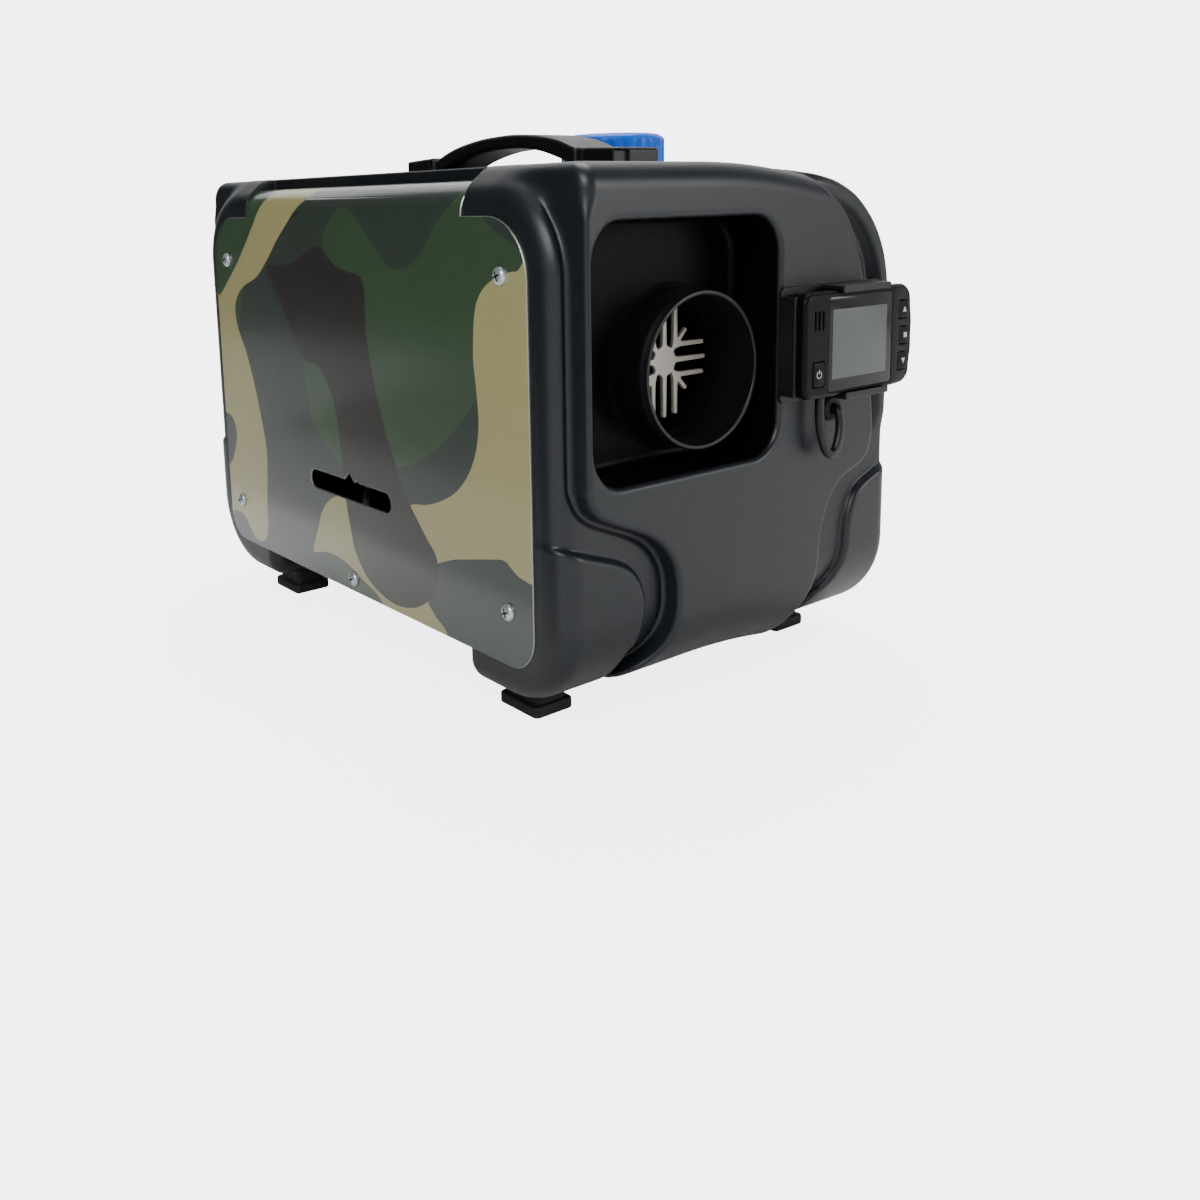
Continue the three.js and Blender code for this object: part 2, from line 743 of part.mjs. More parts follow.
function wholeCasing() {
  const centre = [axisY, axisZ];
  const nose = rod('x', centre, collarBore - gap, caseX[1] - caseWall, recessBack - 2, 36);
  const shell = casing(0).subtract(casing(caseWall)).add(nose);
  return without(shell, [
    rod('x', centre, noseBore, caseX[1] - 5, recessBack, 36),
    rod('x', centre, collarBore - 1, caseX[0] - 5, caseX[0] + 5, 36),
    rod('z', [exhaustX, axisY], exhaustRadius + gap, caseBottom - 5, caseBottom + 5),
    rod('z', [intakeX, axisY], intakeRadius + gap, caseBottom - 5, caseBottom + 5),
    rod('z', [intakeX, fuelStubY], lineRadius + gap, caseBottom - 5, caseBottom + 12, 16),
  ]);
}

function lowerCase() {
  const far = 200;
  return wholeCasing().subtract(block([-far, far], [-far, far], [axisZ - gap / 2, far * 2]));
}

function upperCase() {
  const far = 200;
  const roof = axisZ + caseHalfHeight - 1;
  const half = wholeCasing().subtract(block([-far, far], [-far, far], [0, axisZ + gap / 2]));
  return joined([half, ...boardPosts.map(([x, y]) => rod('z', [x, y], 3, boardZ + 1.6 + gap, roof,
    12))]);
}

// ---------------------------------------------------------------- exchanger, burner and blower
function starFins() {
  const half = starFin / 2;
  const pieces = [rod('x', [0, 0], starHub, exchangerX[1] - 2, starX, 20)];
  const from = exchangerX[1] - 2;
  for (let quarter = 0; quarter < 4; quarter += 1) {
    for (const offset of [-starPitch, 0, starPitch]) {
      const length = offset === 0 ? starRadius : starRadius - 0.6;
      const fin = block([from, starX], [0, length], [offset - half, offset + half]);
      pieces.push(fin.rotate([90 * quarter, 0, 0]));
    }
    const short = block([from, starX], [0, starRadius * 0.75], [-half, half]);
    pieces.push(short.rotate([90 * quarter + 45, 0, 0]));
  }
  return joined(pieces).translate([0, axisY, axisZ]);
}

function heatExchanger() {
  const centre = [axisY, axisZ];
  const [low, high] = exchangerX;
  const fins = [];
  for (let i = 0; i < finCount; i += 1) {
    const fin = block([low + 17, high], [exchangerBore + 2, finRadius], [-1, 1]);
    const angle = (360 / finCount) * (i + 0.5);
    fins.push(fin.rotate([angle, 0, 0]).translate([0, axisY, axisZ]));
  }
  const body = joined([
    rod('x', centre, exchangerRadius, low, high, 28),
    rod('x', centre, finRadius - 1, low, low + 4, 28),
    rod('z', [exhaustX, axisY], exhaustRadius, standTop - 9, axisZ - exchangerBore - 2),
    rod('z', [20, axisY], 9, axisZ + exchangerBore + 2, axisZ + finRadius, 20),
    ...fins,
    starFins(),
  ]);
  return without(body, [
    rod('x', centre, exchangerBore, low - 5, high - 7, 28),
    rod('z', [exhaustX, axisY], exhaustBore, standTop - 20, axisZ - 10),
    rod('z', [glowX, axisY], 5 + gap, axisZ + 10, axisZ + 60, 20),
  ]);
}

function burnerTube() {
  const centre = [axisY, axisZ];
  const low = blowerX[1] + gap;
  const high = exchangerX[0] - gap;
  return joined([
    pipe('x', centre, exchangerRadius, burnerRadius - 2, low, high, 28),
    pipe('x', centre, burnerRadius, burnerRadius - 2, low, 30, 28),
  ]);
}

function glowPlug() {
  const at = [glowX, axisY];
  const seat = axisZ + exchangerRadius + 0.6;
  return joined([
    rod('z', at, 5, axisZ + burnerRadius + 1.5, seat + 3, 20),
    rod('z', at, 5.8, seat, seat + 6, 6),
    rod('z', at, 3, seat + 5, seat + 12, 16),
  ]);
}

function overheatSensor() {
  const seat = axisZ + finRadius + gap;
  return joined([
    rod('z', [20, axisY], 8, seat, seat + 2.5, 24),
    block([15, 25], [axisY - 3, axisY + 3], [seat + 2, seat + 4]),
  ]);
}

function blowerHousing() {
  const centre = [axisY, axisZ];
  const bottom = standTop - 9;
  const body = joined([
    rod('x', centre, blowerRadius, blowerX[0], blowerX[1], 28),
    rod('z', [intakeX, axisY], intakeRadius, bottom, axisZ - 40),
    rod('z', [intakeX, fuelStubY], lineRadius, bottom, axisZ - 34, 16),
  ]);
  return without(body, [
    rod('x', centre, 35, blowerX[0] + 3, blowerX[1] - 3, 28),
    rod('x', centre, shaftRadius + gap, blowerX[0] - 5, blowerX[0] + 5, 24),
    rod('x', centre, 12, blowerX[1] - 5, blowerX[1] + 5, 24),
    rod('z', [intakeX, axisY], intakeBore, bottom - 1, axisZ - 20),
  ]);
}

function combustionImpeller() {
  const centre = [axisY, axisZ];
  const [low, high] = [blowerX[0] + 5, blowerX[1] - 7];
  const vanes = [];
  for (let i = 0; i < 12; i += 1) {
    const vane = block([low + 1.5, high], [10, 31], [-0.8, 0.8]);
    vanes.push(vane.rotate([30 * i, 0, 0]).translate([0, axisY, axisZ]));
  }
  return without(joined([
    rod('x', centre, 32, low, low + 2.5, 28),
    rod('x', centre, 7, low, high, 24),
    ...vanes,
  ]), [rod('x', centre, shaftRadius + gap, low - 1, high + 1, 24)]);
}

function motorShaft() {
  return rod('x', [axisY, axisZ], shaftRadius, fanX[0] + 2, blowerX[1] - 8, 24);
}

function fanMotor() {
  const centre = [axisY, axisZ];
  const body = joined([
    rod('x', centre, motorRadius, motorX[0], motorX[1], 28),
    rod('x', centre, motorRadius + 7, motorX[1] - 3, motorX[1], 28),
    rod('x', centre, 9, motorX[0] - 3, motorX[0], 24),
  ]);
  return body.subtract(rod('x', centre, shaftRadius + gap, motorX[0] - 5, motorX[1] + 5, 24));
}

function heatingFan() {
  const centre = [axisY, axisZ];
  const [low, high] = fanX;
  const middle = (low + high) / 2;
  const blades = [];
  for (let i = 0; i < bladeCount; i += 1) {
    const blade = block([-11.5, 11.5], [12, fanRadius], [-0.9, 0.9]).rotate([0, 38, 0]);
    blades.push(blade.rotate([(360 / bladeCount) * i, 0, 0]).translate([middle, axisY, axisZ]));
  }
  return joined([rod('x', centre, 15, low, high, 32), ...blades])
    .subtract(rod('x', centre, shaftRadius + gap, low + 1.5, high + 1, 24));
}

function controlBoard() {
  const x = [-106, -66];
  const y = [-56, 5];
  const top = boardZ + 1.6;
  return joined([
    block(x, y, [boardZ, top]),
    block([-95, -80], [-44, -26], [top - 0.2, top + 3]),
    block([-98, -76], [-20, -8], [top - 0.2, top + 8]),
    rod('z', [-90, -50], 4, top - 0.2, top + 9, 20),
    block([-78, -68], [-38, -12], [top - 0.2, top + 5]),
  ]);
}

// ---------------------------------------------------------------- stand and pipes
function standHoles(low, high) {
  return [
    rod('z', [exhaustX, axisY], exhaustRadius + gap, low, high),
    rod('z', [intakeX, axisY], intakeRadius + gap, low, high),
    rod('z', [intakeX, fuelStubY], lineRadius + gap, low, high, 16),
  ];
}

function heaterStand() {
  const [left, right] = standX;
  const floor = shellInside + gap;
  const toe = 16;
  return without(joined([
    block(standX, standY, [standTop - standSheet, standTop]),
    block([left, left + standSheet], standY, [floor, standTop]),
    block([right - standSheet, right], standY, [floor, standTop]),
    block([left - toe, left + standSheet], standY, [floor, floor + standSheet]),
    block([right - standSheet, right + toe], standY, [floor, floor + standSheet]),
  ]), [
    ...standHoles(standTop - 10, standTop + 5),
    rod('x', [pumpY, pumpZ], lineRadius + 2.5, right - 10, right + 5, 20),
  ]);
}

function standGasket() {
  const plate = block([standX[0] + 4, standX[1] - 4], [standY[0] + 8, standY[1] - 4],
    [gasketBottom, gasketTop]);
  return without(plate, standHoles(gasketBottom - 5, gasketTop + 5));
}

function drainPipe(x, radius, bore) {
  return pipe('z', [x, axisY], radius, bore, pipeBottom, standTop - 9 - gap);
}

// ---------------------------------------------------------------- fuel pump, filter and lines
function fuelPump() {
  const at = [pumpY, pumpZ];
  const body = joined([
    rod('x', at, pumpRadius, pumpX[0], pumpX[1]),
    rod('x', at, 8, pumpX[0] - 6, pumpX[1] + 6, 24),
    rod('x', at, lineRadius, pumpX[0] - 12, pumpX[1] + 12, 16),
    block([pumpX[1] - 22, pumpX[1] - 6], [pumpY - 7, pumpY + 7], [pumpZ, pumpZ + pumpRadius + 6]),
  ]);
  return without(body, [
    rod('x', at, plungerRadius + gap, pumpX[0] + 20, pumpX[1] - 20, 20),
    rod('x', at, 1.2, pumpX[0] - 20, pumpX[1] + 20, 12),
  ]);
}

function pumpPlunger() {
  const low = pumpX[0] + 20 + gap + plungerTravel;
  const high = pumpX[1] - 20 - gap - plungerTravel;
  return pipe('x', [pumpY, pumpZ], plungerRadius, 1.2, low, high, 20);
}

// A rubber saddle clamp holds the pump on a post from the floor.
function pumpClamp() {
  const width = [-16, 0];
  const at = [pumpY, pumpZ];
  return without(joined([
    rod('x', at, pumpRadius + 4, width[0], width[1]),
    block(width, [pumpY - 8, pumpY + 8], [shellInside + gap, pumpZ]),
  ]), [rod('x', at, pumpRadius + gap, width[0] - 1, width[1] + 1)]);
}

function fuelFilter() {
  const at = [filterX, fuelOutletZ];
  const body = joined([
    rod('y', at, 11, filterY[0] + 8, filterY[1] - 8),
    rod('y', at, 5, filterY[0] + 5, filterY[1] - 5, 20),
    rod('y', at, lineRadius, filterY[0], filterY[1], 16),
    block([filterX - 6, filterX + 6], [-24, -16], [shellInside + gap, fuelOutletZ - 5]),
  ]);
  return body.subtract(rod('y', at, 1.2, filterY[0] - 1, filterY[1] + 1, 12));
}

function suctionLine() {
  const far = tankY[0] - 16 - gap;
  const near = filterY[1] + gap;
  return tube([[filterX, far, fuelOutletZ], [filterX, (far + near) / 2, fuelOutletZ],
    [filterX, near, fuelOutletZ]], lineRadius, 3);
}

function middleLine() {
  const start = filterY[0] - gap;
  const end = pumpX[1] + 12 + gap;
  return tube([[filterX, start, fuelOutletZ], [filterX, start - 6, fuelOutletZ],
    [filterX - 5, start - 16, fuelOutletZ + 2], [filterX - 16, pumpY, fuelOutletZ + 5],
    [filterX - 28, pumpY, pumpZ], [filterX - 42, pumpY, pumpZ], [end, pumpY, pumpZ]],
  lineRadius, 18);
}

function deliveryLine() {
  const start = pumpX[0] - 12 - gap;
  const end = standTop - 9 - gap;
  return tube([[start, pumpY, pumpZ], [start - 7, pumpY, pumpZ], [start - 17, pumpY + 1, pumpZ + 6],
    [start - 20, pumpY + 3, pumpZ + 16], [start - 13, fuelStubY, pumpZ + 25],
    [start - 1, fuelStubY, pumpZ + 28], [intakeX, fuelStubY, pumpZ + 36],
    [intakeX, fuelStubY, end]], lineRadius, 24);
}

// ---------------------------------------------------------------- power inlet
function powerInletHole() {
  return rod('x', inletAt, 9 + gap, -endX - 5, -frameX + 12, 24);
}

function powerInlet() {
  const face = -endX - gap;
  const flange = roundedBox([inletAt[0] - 15, inletAt[0] + 15], [inletAt[1] - 15, inletAt[1] + 15],
    4, 3);
  const body = joined([
    prism('x', flange, face - 3, face),
    rod('x', inletAt, 9, -endX - inletReach, -frameX + 12, 24),
  ]);
  const socket = rod('x', inletAt, 7, -endX - inletReach - 1, face + 6, 24);
  const pins = [-3, 3].map((y) => rod('x', [inletAt[0] + y, inletAt[1]], 1.1, face - 9, face + 8,
    10));
  return body.subtract(socket).add(joined(pins));
}

// ---------------------------------------------------------------- controller
function controllerOutline(inset) {
  return roundedBox([controllerY[0] + inset, controllerY[1] - inset],
    [controllerZ[0] + inset, controllerZ[1] - inset], [3, controllerCorner, controllerCorner, 3]
      .map((radius) => Math.max(radius - inset, 0.8)), 5);
}

// The cradle is screwed to the end and holds the controller with an upper and a lower clip.
function controllerCradle() {
  const lip = controllerFace + gap;
  const upper = controllerZ[1] + gap;
  const lower = controllerZ[0] - gap;
  const clips = [
    block([cradleBack, lip + 1.5], [44, 82], [upper, upper + cradleThick]),
    block([lip, lip + 1.5], [44, 82], [upper - 1.6, upper + 0.5]),
    block([cradleBack, lip + 1.5], [48, 82], [lower - cradleThick, lower]),
    block([lip, lip + 1.5], [48, 82], [lower - 0.5, lower + 1.6]),
  ];
  const sideClip = block([cradleBack, splitX + 1], [controllerY[0] - gap - 1.6,
    controllerY[0] - gap], [controllerZ[0] + 2, controllerZ[1] - 2]);
  const plate = block([cradleBack, cradleFront], [controllerY[0] - gap - 1.6, 90],
    [controllerZ[0] - gap - cradleThick, controllerZ[1] + gap + cradleThick]);
  return joined([plate, sideClip, ...clips]);
}

function controllerRear() {
  const shell = prism('x', controllerOutline(0), caseBackX, splitX);
  return without(shell, [
    prism('x', controllerOutline(skin), caseBackX + skin, splitX + 1),
    rod('z', [caseBackX + 3.5, leadY], leadRadius + gap, controllerZ[0] - 1,
      controllerZ[0] + skin + 0.2, 16),
  ]);
}

function buttonOutline([y, z], [width, height], grow) {
  return roundedBox([y - width / 2 - grow, y + width / 2 + grow],
    [z - height / 2 - grow, z + height / 2 + grow], 1.6 + grow, 3);
}

function controllerFront() {
  const low = splitX + gap;
  const face = prism('x', controllerOutline(0), low, controllerFace);
  const windowCut = prism('x', roundedBox([lcdY[0] - 1, lcdY[1] + 1], [lcdZ[0] - 1, lcdZ[1] + 1], 1,
    2), low, controllerFace + 1);
  const glassSeat = prism('x', roundedBox([glassY[0] - gap, glassY[1] + gap],
    [glassZ[0] - gap, glassZ[1] + gap], 2.3, 3), controllerFace - glassThick - gap,
  controllerFace + 1);
  const slits = [0, 1, 2].map((i) => block([low - 1, controllerFace + 1],
    [23.6 + 3.2 * i, 24.8 + 3.2 * i], [179, 188.5]));
  const buttons = sideButtonPlaces.map((at) => prism('x', buttonOutline(at, sideButtonSize, gap),
    low - 1, controllerFace + 1));
  return without(face, [
    prism('x', controllerOutline(skin), low - 1, controllerFace - skin),
    windowCut,
    glassSeat,
    ...slits,
    ...buttons,
    prism('x', buttonOutline(powerButtonAt, powerButtonSize, gap), low - 1, controllerFace + 1),
  ]);
}

function controllerGlass() {
  return prism('x', roundedBox(glassY, glassZ, 2, 3), controllerFace - glassThick, controllerFace);
}

function controllerDisplay() {
  return block([displayFront - displayThick, displayFront], lcdY, lcdZ);
}

function controllerBoard() {
  return block([boardFront - 1.2, boardFront], [controllerY[0] + 3.5, controllerY[1] - 6],
    [controllerZ[0] + 4, controllerZ[1] - 4]);
}

// A button has a cap in the face, a skirt behind it and a stem that reaches the board.
function button(at, size) {
  const back = controllerFace - skin - gap;
  const skirt = prism('x', buttonOutline(at, size, 0.9), back - 1, back);
  const cap = prism('x', buttonOutline(at, size, 0), back - 0.5, controllerFace + buttonRise);
  return cap.add(skirt);
}

// ---------------------------------------------------------------- controller lead and grommet
function leadGrommet() {
  const at = [leadReturnY, leadReturnZ];
  const bore = leadRadius + gap;
  return joined([
    pipe('x', at, 6.5, bore, endX + gap, endX + gap + 2, 20),
    pipe('x', at, grommetNeck, bore, endX - wall - 1, endX + gap + 1, 20),
  ]);
}

function controllerLead() {
  const x = caseBackX + 3.5;
  return tube([
    [x, leadY, controllerZ[0] + 1.5],
    [x, leadY, 138],
    [x + 0.5, leadY + 0.4, 129],
    [x + 0.8, leadY + 3, 123.2],
    [x + 0.8, (leadY + leadReturnY) / 2, 121],
    [x + 0.8, leadReturnY - 3, 123.2],
    [x + 0.5, leadReturnY - 0.4, 128],
    [x + 0.3, leadReturnY, leadReturnZ - 5],
    [x - 1, leadReturnY, leadReturnZ - 0.7],
    [x - 3, leadReturnY, leadReturnZ],
    [endX - 8, leadReturnY, leadReturnZ],
  ], leadRadius, 40, 8);
}

// ---------------------------------------------------------------- the assembly
const colours = {
  housing: ['#3c4143', 0.55, 0],
  panel: ['#7d7a52', 0.35, 0.1],
  zinc: ['#c9cdd0', 0.3, 1],
  rubber: ['#151617', 0.8, 0],
  tank: ['#d8d6c8', 0.5, 0],
  mesh: ['#b9b9b4', 0.5, 0],
  cap: ['#1567d8', 0.35, 0],
  handle: ['#26282a', 0.65, 0],
  casing: ['#1b1c1e', 0.6, 0],
  cast: ['#b8b6ae', 0.45, 1],
  steel: ['#a7abad', 0.4, 1],
  board: ['#1d5c35', 0.6, 0],
  fan: ['#2a2b2d', 0.5, 0],
  line: ['#8fa2a8', 0.4, 0],
  controller: ['#202426', 0.45, 0],
  glass: ['#24261f', 0.08, 0],
  display: ['#84888a', 0.3, 0],
  brass: ['#b08d4a', 0.35, 1],
};

const heater = new THREE.Group();

function add(name, manifold, colour, place = [0, 0, 0], turn = [0, 0, 0], parent = heater) {
  const [color, roughness, metalness] = colours[colour];
  const material = new THREE.MeshStandardMaterial({ color, roughness, metalness });
  const mesh = new THREE.Mesh(geometryOf(manifold), material);
  mesh.name = name;
  mesh.position.set(...place);
  mesh.rotation.set(...turn);
  parent.add(mesh);
}

function addHousing() {
  add('housing_shell', housingShell(), 'housing');
  add('side_panel', sidePanel(), 'panel');
  panelScrewPlaces.forEach(([x, z], i) => add(`panel_screw_${i + 1}`, panScrew(screwLength), 'zinc',
    [x, panelFace - gap, z], [Math.PI / 2, 0, 0]));
  footPlaces().forEach(([name, x, y]) => add(`foot_${name}`, foot(), 'rubber', [x, y, 0]));
}

function addHandle() {
  add('carry_handle', handleStrap(), 'handle');
  [['front', 1], ['rear', -1]].forEach(([name, side]) => {
    add(`handle_end_${name}`, handleEnd(side), 'handle');
    add(`handle_screw_${name}`, panScrew(12), 'zinc',
      [side * handleScrewX, handleY, handleSeat + tongueThick + gap]);
  });
}

function addFuelSystem() {
  add('fuel_tank', fuelTank(), 'tank');
  add('filler_strainer', fillerStrainer(), 'mesh');
  add('cap_gasket', capGasket(), 'rubber');
  add('fuel_cap', fuelCap(), 'cap');
  add('tank_outlet', tankOutlet(), 'brass');
  add('fuel_filter', fuelFilter(), 'mesh');
  add('fuel_pump', fuelPump(), 'steel');
  add('pump_plunger', pumpPlunger(), 'steel');
  add('pump_clamp', pumpClamp(), 'rubber');
  add('suction_line', suctionLine(), 'line');
  add('middle_line', middleLine(), 'line');
  add('delivery_line', deliveryLine(), 'line');
}

function addHeaterUnit() {
  add('lower_case', lowerCase(), 'casing');
  add('upper_case', upperCase(), 'casing');
  add('heat_exchanger', heatExchanger(), 'cast');
  add('burner_tube', burnerTube(), 'steel');
  add('glow_plug', glowPlug(), 'brass');
  add('overheat_sensor', overheatSensor(), 'brass');
  add('blower_housing', blowerHousing(), 'cast');
  add('combustion_impeller', combustionImpeller(), 'fan');
  add('motor_shaft', motorShaft(), 'steel');
  add('fan_motor', fanMotor(), 'steel');
  add('heating_fan', heatingFan(), 'fan');
  add('control_board', controlBoard(), 'board');
  add('heater_stand', heaterStand(), 'steel');
  add('stand_gasket', standGasket(), 'rubber');
  add('exhaust_pipe', drainPipe(exhaustX, exhaustRadius, exhaustBore), 'steel');
  add('intake_pipe', drainPipe(intakeX, intakeRadius, intakeBore), 'rubber');
  add('outlet_collar', outletCollar(), 'casing');
  add('inlet_grille', inletGrille(), 'casing');
}

function addControls() {
  add('power_inlet', powerInlet(), 'casing');
  add('controller_cradle', controllerCradle(), 'controller');
  add('controller_rear', controllerRear(), 'controller');
  add('controller_front', controllerFront(), 'controller');
  add('controller_glass', controllerGlass(), 'glass');
  add('controller_display', controllerDisplay(), 'display');
  add('controller_board', controllerBoard(), 'board');
  ['up_button', 'menu_button', 'down_button'].forEach((name, i) => add(name,
    button(sideButtonPlaces[i], sideButtonSize), 'rubber'));
  add('power_button', button(powerButtonAt, powerButtonSize), 'rubber');
  add('controller_lead', controllerLead(), 'rubber');
  add('lead_grommet', leadGrommet(), 'rubber');
}

addHousing();
addHandle();
addFuelSystem();
addHeaterUnit();
addControls();

export default heater;
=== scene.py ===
# Portable diesel air heater: the looks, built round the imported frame.
# Sizes in this file are millimetres in the frame's axes and become metres in mesh_object().
# +X is the warm air outlet end, -Y the camouflage side panel, +Z up, the floor is at Z = 0.

import math

import bpy
import numpy as np
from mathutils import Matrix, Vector
from mathutils.geometry import delaunay_2d_cdt
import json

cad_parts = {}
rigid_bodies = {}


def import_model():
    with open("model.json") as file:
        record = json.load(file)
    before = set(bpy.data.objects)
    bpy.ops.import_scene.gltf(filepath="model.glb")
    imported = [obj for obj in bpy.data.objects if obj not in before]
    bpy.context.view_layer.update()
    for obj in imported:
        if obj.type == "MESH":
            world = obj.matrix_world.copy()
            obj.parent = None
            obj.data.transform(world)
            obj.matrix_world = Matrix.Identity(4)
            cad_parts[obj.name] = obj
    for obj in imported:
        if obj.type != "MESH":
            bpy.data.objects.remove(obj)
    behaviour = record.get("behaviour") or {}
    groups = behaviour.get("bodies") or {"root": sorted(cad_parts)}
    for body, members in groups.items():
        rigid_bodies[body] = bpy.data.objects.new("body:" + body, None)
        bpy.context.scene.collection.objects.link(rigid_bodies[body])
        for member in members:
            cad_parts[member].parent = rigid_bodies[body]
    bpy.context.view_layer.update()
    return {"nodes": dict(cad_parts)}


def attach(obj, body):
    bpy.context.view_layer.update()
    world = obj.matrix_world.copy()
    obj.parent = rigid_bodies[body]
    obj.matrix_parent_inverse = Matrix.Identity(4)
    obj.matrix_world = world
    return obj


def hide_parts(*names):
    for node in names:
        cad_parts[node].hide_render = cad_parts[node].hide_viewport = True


MM = 0.001
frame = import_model()


# -------- materials
def linear(code, alpha=1.0):
    """An sRGB hex colour as the linear numbers a shader socket takes."""
    parts = [int(code[i:i + 2], 16) / 255 for i in (1, 3, 5)]
    flat = [c / 12.92 if c <= 0.04045 else ((c + 0.055) / 1.055) ** 2.4 for c in parts]
    return (*flat, alpha)


def node(tree, kind, settings=None, links=None):
    """Adds a node, sets its inputs and links other nodes' outputs into it."""
    made = tree.nodes.new(kind)
    for name, value in (settings or {}).items():
        if name in made.inputs:
            made.inputs[name].default_value = value
        else:
            setattr(made, name, value)
    for name, source in (links or {}).items():
        tree.links.new(source, made.inputs[name])
    return made


def ramp(tree, source, stops):
    """A colour ramp: stops are (position, hex) pairs."""
    made = node(tree, "ShaderNodeValToRGB", links={"Fac": source})
    elements = made.color_ramp.elements
    while len(elements) < len(stops):
        elements.new(0.5)
    for element, (position, code) in zip(elements, stops):
        element.position = position
        element.color = linear(code)
    return made.outputs["Color"]


def material(name, color, rough, metal=0.0, grain=0.0, grain_scale=1500.0, wear=0.0, coat=0.0,
             coat_rough=0.1, specular=0.5, mottle=None, stretch=None):
    """A surface with a fine grain bump, an uneven polish and, where asked, a mottled colour."""
    made = bpy.data.materials.new(name)
    made.use_nodes = True
    tree = made.node_tree
    shader = tree.nodes["Principled BSDF"]
    for socket, value in (("Base Color", linear(color)), ("Roughness", rough), ("Metallic", metal),
                          ("Specular IOR Level", specular), ("Coat Weight", coat),
                          ("Coat Roughness", coat_rough)):
        shader.inputs[socket].default_value = value
    place = node(tree, "ShaderNodeTexCoord").outputs["Object"]
    if stretch:
        place = node(tree, "ShaderNodeMapping", {"Scale": stretch}, {"Vector": place}).outputs[0]

    def noise(scale, detail):
        return node(tree, "ShaderNodeTexNoise", {"Scale": scale, "Detail": detail},
                    {"Vector": place}).outputs["Fac"]

    if mottle:
        tone = ramp(tree, noise(60.0, 4.0), [(0.35, color), (0.65, mottle)])
        tree.links.new(tone, shader.inputs["Base Color"])
    if wear:
        spread = node(tree, "ShaderNodeMapRange",
                      {"To Min": rough - wear, "To Max": rough + wear},
                      {"Value": noise(35.0, 6.0)})
        tree.links.new(spread.outputs["Result"], shader.inputs["Roughness"])
    if grain:
        bump = node(tree, "ShaderNodeBump", {"Strength": grain, "Distance": 0.0002},
                    {"Height": noise(grain_scale, 2.0)})
        tree.links.new(bump.outputs["Normal"], shader.inputs["Normal"])
    return made


def paint_shade_in_box(made, spans, code, specular):
    """Paints shade into a material: darkens it and dulls its gloss inside a box; spans are (axis,
    middle, half, softness) in millimetres.
    """
    tree = made.node_tree
    shader = tree.nodes["Principled BSDF"]
    place = node(tree, "ShaderNodeTexCoord").outputs["Object"]
    split = node(tree, "ShaderNodeSeparateXYZ", links={0: place})

    def sum_of(operation, *links):
        return node(tree, "ShaderNodeMath", {"operation": operation}, dict(enumerate(links)))

    mask = None
    for axis, middle, half, soft in spans:
        off = sum_of("SUBTRACT", split.outputs[axis])
        off.inputs[1].default_value = middle * MM
        near = node(tree, "ShaderNodeMapRange",
                    {"interpolation_type": "SMOOTHSTEP", "From Min": (half + soft) * MM,
                     "From Max": half * MM},
                    {"Value": sum_of("ABSOLUTE", off.outputs[0]).outputs[0]}).outputs["Result"]
        mask = sum_of("MULTIPLY", mask, near).outputs[0] if mask else near
    color, gloss = shader.inputs["Base Color"], shader.inputs["Specular IOR Level"]
    mix = node(tree, "ShaderNodeMixRGB", {"Color1": color.default_value, "Color2": linear(code)},
               {"Fac": mask})
    tree.links.new(mix.outputs["Color"], color)
    fade = node(tree, "ShaderNodeMapRange", {"To Min": gloss.default_value, "To Max": specular},
                {"Value": mask})
    tree.links.new(fade.outputs["Result"], gloss)
    return made


# ABS housing: charcoal, satin, moulded with a fine spark-eroded texture of about 0.7 mm
HOUSING = material("moulded_charcoal_plastic_painted_recess_shade", "#181c21", 0.38, grain=0.12, wear=0.05)
# the walls of the two air recesses: the same plastic, darkened and dulled as painted shade deep in
# the recesses
paint_shade_in_box(HOUSING, [("X", 0, 181.6, 2.0), ("Y", -42.2, 62.2, 1.0), ("Z", 179, 61, 1.0)],
      "#060709", 0.1)
# handle, cradle and cover mouldings: blacker plastic, the same texture
BLACK = material("moulded_black_plastic", "#0f1011", 0.42, grain=0.1, wear=0.05)
# inside of the warm air path: dull heat-proof plastic, made near black as painted shade for the
# unlit duct
DUCT_SHADE_BLACK = material("dull_black_painted_duct_shade", "#070808", 0.85, grain=0.2, wear=0.05, specular=0.15)
# controller case: black ABS with a faint satin polish
CASE = material("controller_black_plastic", "#060708", 0.4, grain=0.08, wear=0.04, specular=0.16)
# display surround: dark gloss acrylic
GLOSS = material("dark_gloss_acrylic", "#191b19", 0.14, wear=0.02, coat=0.15, specular=0.3)
# the display itself: grey liquid crystal behind a film
LCD = material("grey_liquid_crystal", "#606363", 0.3, wear=0.04, specular=0.3)
# printed button marks
MARK = material("pale_ink", "#c4c7c9", 0.5, wear=0.05)
# sheet steel panel: four camouflage paints under one satin clear coat
PAINT = dict(rough=0.3, coat=1.0, coat_rough=0.14, wear=0.03, grain=0.03, grain_scale=400.0)
TAN = material("camouflage_tan_paint", "#9c9566", **PAINT)
GREEN = material("camouflage_green_paint", "#354a33", **PAINT)
DEEP = material("camouflage_dark_green_paint", "#303a33", **PAINT)
BROWN = material("camouflage_dark_brown_paint", "#292725", **PAINT)
# bare cut edge of the steel sheet
CUT = material("cut_steel_edge", "#a9ada6", 0.38, metal=0.8, wear=0.06)
# zinc plated screws
ZINC = material("zinc_plated_steel", "#d3dbe2", 0.34, metal=0.75, wear=0.06)
# die cast exchanger: pale, slightly rough alloy
ALLOY = material("cast_aluminium", "#cfcbc2", 0.42, metal=0.55, grain=0.3, grain_scale=900.0,
                 wear=0.1)
